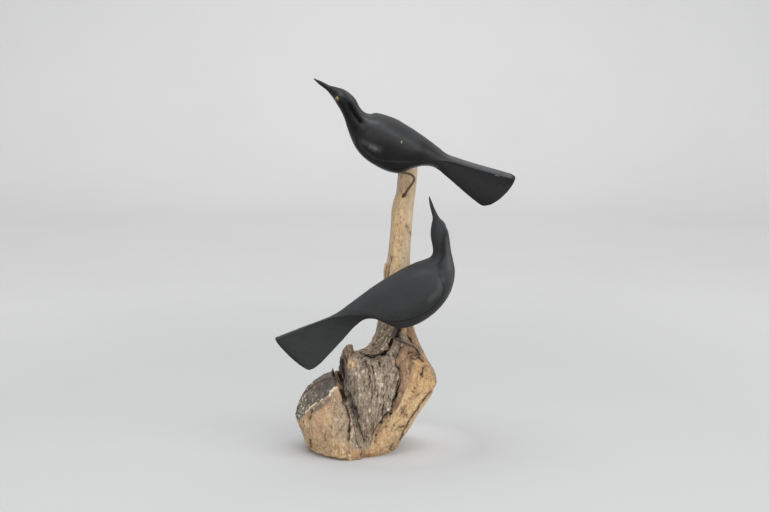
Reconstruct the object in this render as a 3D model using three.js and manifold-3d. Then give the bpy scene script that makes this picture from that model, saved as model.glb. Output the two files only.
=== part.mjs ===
// Two carved wooden blackbirds on bent wire legs, perched on one piece of driftwood with an upright stem.
// Millimetres, +Z up. The front, where both birds stand, is toward -Y.
// The upper bird faces -X and the lower bird faces +X.
// The origin is the middle of the stump's flat underside.
import * as THREE from "three";
import { mergeVertices } from "three/addons/utils/BufferGeometryUtils.js";
import Module from "manifold-3d";

const wasm = await Module();
wasm.setup();

// Driving sizes
const BIRD_PLANE_Y = -48;
const WIRE_RADIUS = 1.6;
const WIRE_SIDES = 8;
const WIRE_STEPS_PER_POINT = 2;
const FIT_GAP = 0.3;
const EYE_RADIUS = 4.4;
const EYE_STANDS_OUT = 1.2;
const BALL_SIDES = 10;
const BALL_ROWS = 8;
const BODY_FULLNESS = 2.25;

// Half of a bird's cross-section, counted from the back: wing edge, foot of its step, keel and belly line
const WING_EDGE = 7;
const WING_FOOT = 8;
const KEEL_START = 14;
const BELLY_LINE = 15;
const WING_STEP_ANGLE = 5;
const WING_RISE_POWER = 1.3;
const NECK_HOLLOW_ANGLE = 58;
const NECK_HOLLOW_SPREAD = 17;

// The tail's section as shares of its half height and half width: top face, bevelled edge and keel
const TAIL_TOP_DROP = 0.1;
const TAIL_EDGE_DROP = 0.06;
const TAIL_EDGE_INSET = 0.03;
const KEEL_HALF_SHARE = 0.24;
const KEEL_ROUND_DROP = 0.04;

// Cross-sections of the upper bird from the bill's tip to the tail's end. Each row holds back x, back z,
// belly x, belly z, half width, shift away from the front, lean, tail share, wing angle, wing lift, hollow
const UPPER_BIRD = [
  [-52.3, 520.5, -52.3, 520.5, 0.5, 14, 33, 0, 60, 0, 0],
  [-50.6, 520.2, -51.3, 518.9, 0.9, 13.4, 33, 0, 60, 0, 0],
  [-41, 516.5, -44.6, 512.6, 2.2, 11, 33, 0, 60, 0, 0],
  [-30.5, 511.7, -35.6, 506, 3.4, 7, 33, 0, 60, 0, 0],
  [-22, 509.8, -28.6, 498.6, 6.4, 2, 33, 0, 60, 0, 0],
  [-9.5, 506, -22, 489.5, 11.6, -3, 33, 0, 60, 0, 0],
  [2.5, 496, -16, 480, 14.2, -6, 32, 0, 60, 0, 0.9],
  [9.5, 484, -11.5, 470.5, 13.8, -7, 29, 0, 60, 0, 1.8],
  [15.5, 477.5, -7.5, 458, 14.8, -7, 25, 0, 62, 0, 2.2],
  [23, 475, -3, 444.5, 19, -6, 21, 0, 70, 0.2, 1.6],
  [30, 476, 3, 431.5, 25, -4.5, 18, 0, 120, 1.6, 0.3],
  [42, 473.5, 13, 418.5, 28.8, -2.5, 16, 0, 134, 1.7, 0],
  [56, 468.5, 27.5, 407.5, 30.5, -1, 15, 0, 132, 1.7, 0],
  [71, 460, 45.5, 398.5, 29.8, 0, 15, 0, 124, 1.7, 0],
  [86.5, 450, 63, 396, 27, 0, 15, 0, 110, 1.7, 0],
  [102, 439, 79.5, 402.5, 21.5, 0, 15, 0.05, 108, 1.7, 0],
  [115, 429, 95.5, 405.5, 16.8, 0, 15, 0.15, 100, 1.6, 0],
  [125.5, 421, 109, 403, 13.2, 0, 15, 0.4, 76, 1.4, 0],
  [139.5, 415.5, 124, 391.5, 10.8, 0, 15, 0.8, 50, 0.9, 0],
  [162, 408.5, 144, 374, 9.8, 0, 15, 1, 40, 0.4, 0],
  [185, 402.5, 163, 358, 9.3, 0, 15, 1, 40, 0, 0],
  [202.5, 397.5, 174, 351, 9, 0, 15, 1, 40, 0, 0],
  [212.5, 394.3, 180.5, 351.3, 8.4, 0, 15, 1, 40, 0, 0],
  [216.3, 388.8, 187, 353.8, 6.6, 0, 15, 1, 40, 0, 0],
  [211.5, 378.5, 197.5, 361.5, 3.6, 0, 15, 1, 40, 0, 0],
  [206, 370, 206, 370, 0.3, 0, 15, 1, 40, 0, 0],
];

// Cross-sections of the lower bird, which turns its head right away from the front
const LOWER_BIRD = [
  [102.4, 361.5, 102.4, 361.5, 0.5, 26, 86, 0, 60, 0, 0],
  [102.1, 359.6, 103.7, 359.7, 0.9, 25.4, 86, 0, 60, 0, 0],
  [102.5, 353.5, 106.2, 354, 1.9, 23.5, 86, 0, 60, 0, 0],
  [104.6, 343, 110.4, 344, 2.9, 20.5, 86, 0, 60, 0, 0],
  [107, 334, 115.6, 334.5, 4.6, 17.5, 86, 0, 60, 0, 0],
  [106.5, 327.3, 122.3, 326.5, 9.5, 15, 86, 0, 60, 0, 0],
  [104.5, 318, 127.3, 316.8, 13.2, 13, 78, 0, 60, 0, 0],
  [104.7, 307, 129.8, 306, 13.8, 12, 58, 0, 60, 0, 0.8],
  [106.8, 295.5, 131.3, 294.3, 13.4, 11.5, 40, 0, 60, 0, 1.8],
  [107.5, 286.5, 133.2, 284, 14, 11, 30, 0, 62, 0, 2.2],
  [103.7, 279.8, 135.2, 275, 17, 10, 20, 0, 64, 0, 2],
  [95.5, 276.3, 137, 265, 21.5, 8, 10, 0, 80, 0.3, 1.4],
  [84.5, 273, 136.6, 251.5, 26, 6, 0, 0, 96, 1.2, 0.4],
  [71.5, 267.5, 132.7, 236.3, 29.5, 4, -6, 0, 128, 1.7, 0],
  [56, 259.5, 123.3, 220.3, 31, 2, -10, 0, 140, 1.7, 0],
  [40, 249.8, 107.6, 204, 30.5, 1, -12, 0, 138, 1.7, 0],
  [23.5, 239, 84.5, 190, 28.5, 0, -12, 0, 126, 1.7, 0],
  [7, 226.7, 61, 185.8, 24.5, 0, -12, 0, 114, 1.7, 0],
  [-8, 215.5, 36.5, 197, 19, 0, -12, 0.08, 104, 1.6, 0],
  [-20.5, 206.2, 16.2, 197, 14.5, 0, -12, 0.3, 82, 1.4, 0],
  [-31.5, 200.3, 2.3, 187.4, 11.8, 0, -12, 0.65, 56, 1, 0],
  [-51.2, 192.2, -15, 168.2, 10.2, 0, -12, 0.95, 42, 0.5, 0],
  [-74.3, 183, -32.4, 149.5, 9.6, 0, -12, 1, 40, 0.1, 0],
  [-94, 174.8, -47.7, 134, 9.3, 0, -12, 1, 40, 0, 0],
  [-101.7, 171.5, -57, 128, 9, 0, -12, 1, 40, 0, 0],
  [-106.5, 167.5, -65, 128.6, 7.2, 0, -12, 1, 40, 0, 0],
  [-98.5, 156.5, -79.5, 138, 3.6, 0, -12, 1, 40, 0, 0],
  [-89, 146, -89, 146, 0.3, 0, -12, 1, 40, 0, 0],
];

// Where the glass eyes sit: share of the way between two head sections, and place round the section
const EYES = {
  upper: { section: 4, share: 0.97, place: 9.6 },
  lower: { section: 5, share: 0.3, place: 12.3 },
};

// Wire legs, drawn from inside the belly to inside the wood
const LEGS = {
  upper_left_leg: [
    [55, -47, 411], [60, -46, 400.5], [66, -45, 396], [73, -43, 394.5], [79.5, -40, 391.5],
    [82, -36, 386.5], [79.5, -28, 379.5], [74.5, -18, 371], [69, -8, 361], [65.5, 0, 355],
  ],
  upper_right_leg: [[57, -36, 412], [60, -31, 404], [62.5, -22, 401], [65, -9, 399], [66.5, 5, 397]],
  lower_right_leg: [
    [61, -48, 200], [59.5, -48.5, 187], [56, -49.5, 177], [54, -50, 171], [61, -48.5, 167],
    [70, -46, 162.5], [79, -41, 157.5], [86, -34, 151], [90, -26, 142], [91, -16, 135], [91, -6, 129],
  ],
  lower_left_leg: [[65, -40, 202], [66.5, -34, 193], [68, -25, 188], [69.5, -12, 185], [70.5, 0, 183]],
};

// A bead of filler where the upper bird's front leg enters the stem
const FILLER_BEAD = { center: [69, -8.5, 361], radius: 2.9 };

// Sizes shared by the driftwood's forms
const WOOD_RING_POINTS = 32;
const LUMP_SIDES = 11;
const FLOOR_BLOCK_SIZE = 600;

// Shallow waves round the trunk, each as waves per turn, rise per wave angle, phase and size
const WOOD_RIPPLE = 0.012;
const RIPPLES = [
  [5, 31, 0, 1],
  [9, -23, 1.3, 0.7],
  [3, 9, 0, 0.6],
];

// Level slices of the trunk and stem: height, then eight points [x, y] from the left end round by the front
const TRUNK = [
  [0, [-20, 0], [-8, -34], [14, -45], [43, -30], [60, 0], [50, 44], [8, 59], [-18, 44]],
  [6, [-20, 0], [-8, -38], [18, -49], [45, -36], [60, -12], [54, 46], [8, 61], [-19, 45]],
  [30, [-22, 0], [-9, -42], [22, -51], [57, -43], [73.5, -26], [64, 46], [10, 61], [-20, 46]],
  [56, [-24, 0], [-8, -44], [28, -53], [67, -45], [88.2, -31], [75, 44], [14, 60], [-20, 46]],
  [78, [-24, 0], [-10, -43], [26, -53], [75, -45], [101.3, -33], [86, 40], [18, 57], [-18, 43]],
  [100, [-24, 0], [-12, -38], [26, -49], [78, -43], [112, -33], [94, 34], [22, 53], [-18, 38]],
  [113, [-22.5, 0], [-12, -34], [26, -45], [78, -41], [111, -31], [90, 31], [26, 46], [-16, 33]],
  [126, [-18, -2], [-8, -30], [28, -41], [77, -38], [104.5, -26], [85, 28], [34, 41], [-8, 29]],
  [138, [-2, -6], [4, -26], [36, -37], [77, -34], [98.5, -18], [80, 25], [40, 33], [9, 18]],
  [144, [13.5, -6], [18, -23], [42, -34], [77, -31], [96, -13], [79, 25], [46, 31], [21, 18]],
  [152, [23, -3], [28, -18], [47, -30], [76, -27], [92, -8], [77, 25], [50, 29], [31, 20]],
  [165, [30, 0], [36, -16], [54, -26], [75, -20], [85.5, 1], [75, 23], [52, 28], [36, 22]],
  [185, [33, 6], [39, -9], [56, -17], [72, -10], [79, 7], [72, 21], [55, 26], [39, 20]],
  [215, [37, 8], [43, -5], [58, -11], [72, -5], [78, 9], [72, 21], [58, 25], [43, 20]],
  [257, [43, 8], [48, -4], [60, -9], [73, -4], [77.3, 9], [73, 21], [60, 25], [48, 20]],
  [279, [47, 8], [51, -3], [62, -8], [73, -4], [77.3, 9], [73, 20], [62, 24], [51, 19]],
  [310, [50.3, 8], [54, -3], [65, -7], [76, -3], [79.5, 8], [75, 19], [65, 23], [54, 19]],
  [340, [52, 8], [56, -2], [67, -6], [78, -2], [81.5, 8], [78, 19], [67, 22], [56, 18]],
  [350, [54, 8], [58, -2], [68, -6], [79, -2], [83, 8], [79, 18], [68, 22], [58, 17]],
  [362, [58, 8], [62, -2], [71, -6], [81, -2], [84.8, 8], [81, 18], [71, 22], [61, 17]],
  [386, [60.3, 8], [64, -2], [74, -5.5], [84, -2], [87, 8], [83, 18], [74, 21], [64, 17]],
  [410, [61, 8], [65, -1], [75, -5], [84, -1], [88, 9], [84, 17], [75, 20.5], [65, 16]],
  [423, [66, 9], [68, 3], [75, 0], [81, 3], [85, 9], [81, 15], [75, 17], [68, 15]],
];

// Upright slices of the left lobe: x, then eleven points [y, z] from the bottom front over the sloping top
const LOBE_TIP_LENGTH = 3.5;
const LEFT_LOBE = [
  [
    -80, [-2, 38], [-7, 40], [-11, 44], [-14, 50], [-15, 56], [-9, 62],
    [-1, 65], [6, 62], [10, 52], [8, 43], [2, 38],
  ],
  [
    -74, [-2, 23], [-12, 28], [-19, 36], [-23, 46], [-22, 54], [-12, 68],
    [0, 78], [14, 70], [20, 52], [16, 32], [4, 23],
  ],
  [
    -66, [-4, 2], [-19, 8], [-30, 24], [-34, 42], [-29, 60], [-15, 78],
    [2, 90], [22, 78], [30, 48], [24, 12], [6, 2],
  ],
  [
    -56, [-19, 0], [-29, 4], [-43, 20], [-47, 44], [-37, 72], [-18, 88],
    [5, 98], [34, 84], [45, 46], [40, 6], [12, 0],
  ],
  [
    -44, [-34, 0], [-43, 4], [-53, 21], [-56, 48], [-43, 85], [-22, 99],
    [6, 105], [40, 88], [52, 46], [48, 5], [16, 0],
  ],
  [
    -31, [-44, 0], [-53, 4], [-60, 22], [-60, 52], [-45, 103], [-26, 109],
    [4, 111], [42, 92], [56, 46], [52, 4], [18, 0],
  ],
  [
    -20, [-51, 0], [-60, 4], [-62, 22], [-59, 50], [-44, 100], [-26, 104],
    [2, 104], [40, 88], [55, 46], [52, 4], [18, 0],
  ],
  [
    -9, [-57, 0], [-61, 4], [-60, 18], [-56, 36], [-50, 60], [-26, 78],
    [0, 84], [32, 76], [48, 44], [46, 4], [16, 0],
  ],
];

// Smaller lumps of the driftwood, each a row of [x, y, z, radius in x, radius in y] up its middle line
const RIDGE = [
  [1, -44, 0, 13, 13.5], [1, -46, 5, 13, 13.5], [0, -47, 18, 10.5, 12.5], [-1, -46, 34, 7.5, 10],
  [-4, -45, 54, 6, 8], [-9, -43, 74, 5.5, 7], [-15, -38, 94, 5, 7], [-21, -30, 108, 4.5, 7],
  [-24, -22, 117, 2, 4],
];
const KNOB = [
  [-9, -13, 108, 11, 22], [-9.5, -18, 126, 10, 19], [-9, -19, 137, 10, 17],
  [-8.5, -20, 145, 8.4, 14], [-7, -20, 150.5, 6, 10], [-5.8, -19, 154, 3.4, 5],
];
const SPLINTER = [
  [-31, -8, 96, 7, 8], [-30, -7, 106, 4.5, 5], [-30, -6, 113, 2.2, 2.5], [-30, -6, 118, 0.6, 0.7],
];
const STEM_ROOT = [
  [26, -12, 138, 9, 18], [28.5, -14, 146, 12, 19], [35.5, -14, 153, 13, 17.5], [43.3, -12, 164, 13.2, 16],
  [49, -8, 178, 15, 14], [54.5, -3, 194, 14.8, 12], [58, 3, 210, 13, 9],
];

// The raised weathered plate on the front: height, then its left edge, middle and right edge as x, y
const PLATE = [
  [14, 15, -42, 20, -44, 26, -42],
  [28, 10, -49, 19, -52, 29, -49],
  [45, 5, -51, 18, -56, 32, -53],
  [57, 1, -50, 21, -58, 41, -54],
  [70, -4, -49, 24, -59, 53, -53],
  [84, -9, -46, 23, -59, 55, -52],
  [98, -14, -42, 22, -57, 59, -50],
  [110, -17, -39, 23, -54, 63, -48],
  [119, -18, -36, 23, -51, 65, -46],
  [129, -18, -34, 22, -47, 60, -44],
  [137, -17, -31, 22, -42, 59, -41],
  [143, -12, -27, 24, -37, 61, -37],
];
const PLATE_FRONT_POINTS = 15;
const PLATE_FURROW_SHARE = 0.014;
const PLATE_FURROW_STEP = 2.3;
const PLATE_FURROW_RISE = 17;
const PLATE_SIDE_DEPTH = 8;
const PLATE_SIDE_INSET = 4;
const PLATE_BACK_Y = -8;

// Open cracks, each a path over the surface with its half width and depth; they open toward the outside
const CRACK_AIM = [20, 60];
const CRACK_MOUTH = 7;
const CRACK_END_SHARE = 0.55;
const CRACKS = [
  {
    width: 4,
    depth: 9,
    path: [[-25, -33, 116], [-19, -42, 102], [-13, -50, 82], [-8, -55, 62], [-8, -60, 42], [-8, -62, 28]],
  },
  {
    width: 3.4,
    depth: 8,
    path: [[-12, -46, 86], [-4, -52, 66], [3, -52, 46], [11, -50, 24]],
  },
  {
    width: 3.6,
    depth: 7,
    path: [
      [11, -24, 144], [21, -33, 140], [32, -34, 140], [42, -33, 146],
      [50, -30, 156], [58, -26, 170], [66, -18, 183],
    ],
  },
  {
    width: 2.6,
    depth: 7,
    path: [
      [66, -33, 157], [60, -40, 142], [66, -44, 118], [60, -49, 98],
      [54, -51, 70], [41, -53, 56], [32, -50, 42], [28, -45, 22],
    ],
  },
];

// The cross-section of a bird at one row of its table, as points round the body from the back line
function birdSection(row) {
  const [backX, backZ, bellyX, bellyZ, halfWidth, shift, lean, tail, wingAngle, lift, hollow] = row;
  const back = new THREE.Vector2(backX, backZ);
  const belly = new THREE.Vector2(bellyX, bellyZ);
  const middle = back.clone().add(belly).multiplyScalar(0.5);
  const halfHeight = Math.max(back.distanceTo(belly) / 2, 0.01);
  const up = back.clone().sub(belly).divideScalar(2 * halfHeight);
  const turn = THREE.MathUtils.degToRad(lean);
  const flat = [];
  for (let i = 0; i < 2 * BELLY_LINE; i++) {
    const place = i <= BELLY_LINE ? i : 2 * BELLY_LINE - i;
    const side = i <= BELLY_LINE ? 1 : -1;
    const [high, wide] = sectionPoint(place, halfHeight, halfWidth, tail, wingAngle, lift, hollow);
    flat.push([
      high * Math.cos(turn) - side * wide * Math.sin(turn),
      high * Math.sin(turn) + side * wide * Math.cos(turn),
    ]);
  }
  const lowest = Math.min(...flat.map((point) => point[0]));
  const highest = Math.max(...flat.map((point) => point[0]));
  return flat.map(([high, wide]) => {
    const along = ((high - lowest) / (highest - lowest)) * 2 * halfHeight - halfHeight;
    return new THREE.Vector3(
      middle.x + up.x * along,
      BIRD_PLANE_Y + shift - wide,
      middle.y + up.y * along,
    );
  });
}

// One point of the half section, as height and half width, blending the round body into the keeled tail
function sectionPoint(place, halfHeight, halfWidth, tail, wingAngle, lift, hollow) {
  const angle = placeAngle(place, wingAngle);
  const c = Math.cos(THREE.MathUtils.degToRad(angle));
  const s = Math.sin(THREE.MathUtils.degToRad(angle));
  const bodyHigh = Math.sign(c) * Math.abs(c) ** (2 / BODY_FULLNESS);
  const bodyWide = Math.abs(s) ** (2 / BODY_FULLNESS);
  const [tailHigh, tailWide] = tailPoint(place);
  const high = THREE.MathUtils.lerp(bodyHigh, tailHigh, tail) * halfHeight;
  const wide = THREE.MathUtils.lerp(bodyWide, tailWide, tail) * halfWidth;
  const wingRise = place <= WING_EDGE ? lift * (place / WING_EDGE) ** WING_RISE_POWER : 0;
  const neckDip = hollow * Math.exp(-(((angle - NECK_HOLLOW_ANGLE) / NECK_HOLLOW_SPREAD) ** 2));
  const outHigh = high / halfHeight ** 2;
  const outWide = wide / halfWidth ** 2;
  const size = Math.hypot(outHigh, outWide) || 1;
  const push = wingRise - neckDip;
  return [high + (push * outHigh) / size, wide + (push * outWide) / size];
}

// Angle from the back line, in degrees, of a place counted round the half section
function placeAngle(place, wingAngle) {
  if (place <= WING_EDGE) return (wingAngle * place) / WING_EDGE;
  if (place <= WING_FOOT) return wingAngle + WING_STEP_ANGLE * (place - WING_EDGE);
  const foot = wingAngle + WING_STEP_ANGLE;
  return foot + ((180 - foot) * (place - WING_FOOT)) / (BELLY_LINE - WING_FOOT);
}

// The tail's section: a flat top with a crisp edge, sides that draw in, and a rounded keel
function tailPoint(place) {
  const { lerp } = THREE.MathUtils;
  const edgeHigh = 1 - TAIL_TOP_DROP;
  if (place <= WING_EDGE) return [1 - TAIL_TOP_DROP * (place / WING_EDGE) ** 2, place / WING_EDGE];
  const step = Math.min(place - WING_EDGE, WING_FOOT - WING_EDGE);
  const edge = [edgeHigh - TAIL_EDGE_DROP * step, 1 - TAIL_EDGE_INSET * step];
  if (place <= WING_FOOT) return edge;
  const down = (place - WING_FOOT) / (KEEL_START - WING_FOOT);
  const keelHigh = KEEL_ROUND_DROP - 1;
  if (place <= KEEL_START) return [lerp(edge[0], keelHigh, down), lerp(edge[1], KEEL_HALF_SHARE, down)];
  const last = place - KEEL_START;
  return [keelHigh - KEEL_ROUND_DROP * last, KEEL_HALF_SHARE * Math.sqrt(Math.max(0, 1 - last ** 2))];
}

// A closed skin over rings of points, by moving the vertices of a ball: its rows become the rings
function skin(rings, startPole, endPole) {
  const around = rings[0].length;
  const geometry = new THREE.SphereGeometry(1, around, rings.length + 1);
  const position = geometry.attributes.position;
  for (let i = 0; i < position.count; i++) {
    const row = Math.floor(i / (around + 1));
    const column = i % (around + 1);
    let point = startPole;
    if (row > rings.length) point = endPole;
    else if (row > 0) point = rings[row - 1][column % around];
    position.setXYZ(i, point.x, point.y, point.z);
  }
  return solid(geometry);
}

// A solid body from a closed geometry, with its faces turned outward
function solid(source) {
  const geometry = source.index ? source.clone() : source;
  geometry.deleteAttribute("normal");
  geometry.deleteAttribute("uv");
  const merged = mergeVertices(geometry, 1e-4);
  const triVerts = Uint32Array.from(merged.index.array);
  const vertProperties = Float32Array.from(merged.attributes.position.array);
  if (signedVolume(vertProperties, triVerts) < 0) {
    for (let i = 0; i < triVerts.length; i += 3) {
      [triVerts[i], triVerts[i + 1]] = [triVerts[i + 1], triVerts[i]];
    }
  }
  return new wasm.Manifold(new wasm.Mesh({ numProp: 3, vertProperties, triVerts }));
}

function signedVolume(points, triangles) {
  const corner = (index) => new THREE.Vector3().fromArray(points, 3 * index);
  let total = 0;
  for (let i = 0; i < triangles.length; i += 3) {
    total += corner(triangles[i]).dot(corner(triangles[i + 1]).cross(corner(triangles[i + 2])));
  }
  return total / 6;
}

function centerOf(points) {
  return points.reduce((sum, point) => sum.add(point), new THREE.Vector3()).divideScalar(points.length);
}

function birdBody(table) {
  const rings = table.slice(1, -1).map(birdSection);
  return skin(rings, centerOf(birdSection(table[0])), centerOf(birdSection(table[table.length - 1])));
}

// Centre of a glass eye, sunk into the head from the point of the skin where it shows
function eyeCenter(table, { section, share, place }, side) {
  const index = (step) => (side > 0 ? step : (2 * BELLY_LINE - step) % (2 * BELLY_LINE));
  const sections = [birdSection(table[section]), birdSection(table[section + 1])];
  const onSkin = sections.map((ring) => {
    const low = ring[index(Math.floor(place))];
    return low.clone().lerp(ring[index(Math.ceil(place))], place % 1);
  });
  const surface = onSkin[0].lerp(onSkin[1], share);
  const axis = centerOf(sections[0]).lerp(centerOf(sections[1]), share);
  const outward = surface.clone().sub(axis).normalize();
  return surface.addScaledVector(outward, EYE_STANDS_OUT - EYE_RADIUS);
}

function ball(center, radius) {
  const geometry = new THREE.SphereGeometry(radius, BALL_SIDES, BALL_ROWS);
  geometry.translate(center.x, center.y, center.z);
  return solid(geometry);
}

// Round wire along a smooth path through the given points
function wire(points, radius, extraEnds) {
  const path = points.map((point) => new THREE.Vector3(...point));
  const last = path.length - 1;
  path[0].addScaledVector(path[0].clone().sub(path[1]).normalize(), extraEnds);
  path[last].addScaledVector(path[last].clone().sub(path[last - 1]).normalize(), extraEnds);
  const outline = [];
  for (let i = 0; i < WIRE_SIDES; i++) {
    const angle = (i / WIRE_SIDES) * 2 * Math.PI;
    outline.push(new THREE.Vector2(radius * Math.cos(angle), radius * Math.sin(angle)));
  }
  const geometry = new THREE.ExtrudeGeometry(new THREE.Shape(outline), {
    steps: WIRE_STEPS_PER_POINT * last,
    extrudePath: new THREE.CatmullRomCurve3(path),
  });
  return solid(geometry);
}

// Shallow unevenness of weathered wood as a share of the trunk's radius, running mostly with the grain
function ripple(angle, height) {
  let sum = 0;
  for (const [turns, rise, phase, size] of RIPPLES) {
    sum += size * Math.sin(turns * angle + height / rise + phase);
  }
  return WOOD_RIPPLE * sum;
}

function smoothRing(points) {
  return new THREE.CatmullRomCurve3(points, true, "centripetal").getPoints(WOOD_RING_POINTS).slice(0, -1);
}

function trunk() {
  const rings = TRUNK.map(([height, ...corners]) => {
    const ring = smoothRing(corners.map(([x, y]) => new THREE.Vector3(x, y, height)));
    const middle = centerOf(ring);
    return ring.map((point) => {
      const out = point.clone().sub(middle);
      return point.addScaledVector(out, ripple(Math.atan2(out.y, out.x), height));
    });
  });
  return skin(rings, centerOf(rings[0]), centerOf(rings[rings.length - 1]));
}

function leftLobe() {
  const rings = LEFT_LOBE.map(([x, ...corners]) => {
    const ring = corners.map(([y, z]) => new THREE.Vector3(x, y, z));
    const fine = [];
    ring.forEach((point, i) => {
      fine.push(point);
      fine.push(point.clone().lerp(ring[(i + 1) % ring.length], 0.5));
    });
    return fine;
  });
  const outer = centerOf(rings[0]).add(new THREE.Vector3(-LOBE_TIP_LENGTH, 0, 0));
  return skin(rings, outer, centerOf(rings[rings.length - 1]));
}

// A lump of wood from flattened rings stacked up its middle line
function lump(rows) {
  const rings = rows.map(([x, y, z, radiusX, radiusY]) => {
    const ring = [];
    for (let i = 0; i < LUMP_SIDES; i++) {
      const angle = (i / LUMP_SIDES) * 2 * Math.PI;
      ring.push(new THREE.Vector3(x + radiusX * Math.cos(angle), y + radiusY * Math.sin(angle), z));
    }
    return ring;
  });
  return skin(rings, centerOf(rings[0]), centerOf(rings[rings.length - 1]));
}

// The front plate: upright furrows across its face and square edges where it has split from the wood
function frontPlate() {
  const rings = PLATE.map(([z, leftX, leftY, middleX, middleY, rightX, rightY]) => {
    const ring = [];
    for (let i = 0; i < PLATE_FRONT_POINTS; i++) {
      const share = (2 * i) / (PLATE_FRONT_POINTS - 1) - 1;
      const edgeX = share < 0 ? leftX : rightX;
      const edgeY = share < 0 ? leftY : rightY;
      const wave = Math.sin(PLATE_FURROW_STEP * i + z / PLATE_FURROW_RISE) * (1 - share ** 4);
      const furrow = (rightX - leftX) * PLATE_FURROW_SHARE * wave;
      const x = THREE.MathUtils.lerp(middleX, edgeX, Math.abs(share));
      ring.push(new THREE.Vector3(x, THREE.MathUtils.lerp(middleY, edgeY, share ** 2) + furrow, z));
    }
    ring.push(new THREE.Vector3(rightX, rightY + PLATE_SIDE_DEPTH, z));
    ring.push(new THREE.Vector3(rightX - PLATE_SIDE_INSET, PLATE_BACK_Y, z));
    ring.push(new THREE.Vector3(leftX + PLATE_SIDE_INSET, PLATE_BACK_Y, z));
    ring.push(new THREE.Vector3(leftX, leftY + PLATE_SIDE_DEPTH, z));
    return ring;
  });
  return skin(rings, centerOf(rings[0]), centerOf(rings[rings.length - 1]));
}

// A wedge-shaped cutter that follows a crack over the surface, pointing in toward the middle of the wood
function crackCutter({ path, width, depth }) {
  const curve = new THREE.CatmullRomCurve3(path.map((point) => new THREE.Vector3(...point)));
  const steps = 2 * (path.length - 1);
  const rings = [];
  for (let i = 0; i <= steps; i++) {
    const share = i / steps;
    const point = curve.getPoint(share);
    const along = curve.getTangent(share);
    const inward = new THREE.Vector3(CRACK_AIM[0] - point.x, CRACK_AIM[1] - point.y, 0).normalize();
    const across = along.clone().cross(inward).normalize();
    const taper = CRACK_END_SHARE + (1 - CRACK_END_SHARE) * Math.sin(Math.PI * share);
    const outer = point.clone().addScaledVector(inward, -CRACK_MOUTH);
    rings.push([
      outer.clone().addScaledVector(across, width * taper),
      point.clone().addScaledVector(inward, depth * taper),
      outer.clone().addScaledVector(across, -width * taper),
    ]);
  }
  return skin(rings, centerOf(rings[0]), centerOf(rings[rings.length - 1]));
}

function driftwood(clearances) {
  let wood = trunk().add(leftLobe()).add(frontPlate());
  [RIDGE, KNOB, SPLINTER, STEM_ROOT].forEach((rows) => {
    wood = wood.add(lump(rows));
  });
  CRACKS.forEach((crack) => {
    wood = wood.subtract(crackCutter(crack));
  });
  clearances.forEach((clearance) => {
    wood = wood.subtract(clearance);
  });
  const belowFloor = new THREE.BoxGeometry(FLOOR_BLOCK_SIZE, FLOOR_BLOCK_SIZE, FLOOR_BLOCK_SIZE);
  belowFloor.translate(0, 0, -FLOOR_BLOCK_SIZE / 2);
  return wood.subtract(solid(belowFloor));
}

const group = new THREE.Group();

function place(name, body, material) {
  const { vertProperties, triVerts } = body.getMesh();
  const geometry = new THREE.BufferGeometry();
  geometry.setAttribute("position", new THREE.BufferAttribute(Float32Array.from(vertProperties), 3));
  geometry.setIndex(new THREE.BufferAttribute(Uint32Array.from(triVerts), 1));
  geometry.computeVertexNormals();
  const mesh = new THREE.Mesh(geometry, material);
  mesh.name = name;
  group.add(mesh);
}

const weatheredWood = new THREE.MeshStandardMaterial({ color: 0xa8906c, roughness: 0.9, metalness: 0 });
const satinBlack = new THREE.MeshStandardMaterial({ color: 0x26272b, roughness: 0.45, metalness: 0 });
const mattBlack = new THREE.MeshStandardMaterial({ color: 0x2f3032, roughness: 0.75, metalness: 0 });
const rustyWire = new THREE.MeshStandardMaterial({ color: 0x5a4632, roughness: 0.7, metalness: 0.6 });
const yellowGlass = new THREE.MeshStandardMaterial({ color: 0xb8a040, roughness: 0.1, metalness: 0 });

const bead = new THREE.Vector3(...FILLER_BEAD.center);
const clearances = Object.values(LEGS).map((points) => wire(points, WIRE_RADIUS + FIT_GAP, FIT_GAP));
const beadClearance = ball(bead, FILLER_BEAD.radius + FIT_GAP);

place("driftwood_base", driftwood([...clearances, beadClearance]), weatheredWood);

for (const [bird, table, paint] of [["upper", UPPER_BIRD, satinBlack], ["lower", LOWER_BIRD, mattBlack]]) {
  let body = birdBody(table);
  for (const side of [1, -1]) {
    const center = eyeCenter(table, EYES[bird], side);
    const name = `${bird}_${(side > 0) === (bird === "upper") ? "left" : "right"}_eye`;
    body = body.subtract(ball(center, EYE_RADIUS + FIT_GAP));
    place(name, ball(center, EYE_RADIUS), yellowGlass);
  }
  clearances.forEach((clearance) => {
    body = body.subtract(clearance);
  });
  place(`${bird}_blackbird`, body, paint);
}

for (const [name, points] of Object.entries(LEGS)) {
  let leg = wire(points, WIRE_RADIUS, 0);
  if (name === "upper_left_leg") leg = leg.add(ball(bead, FILLER_BEAD.radius));
  place(name, leg, rustyWire);
}

export default group;
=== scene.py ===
"""Two carved blackbirds on wire legs on a piece of driftwood: the looks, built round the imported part."""

import math

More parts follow.
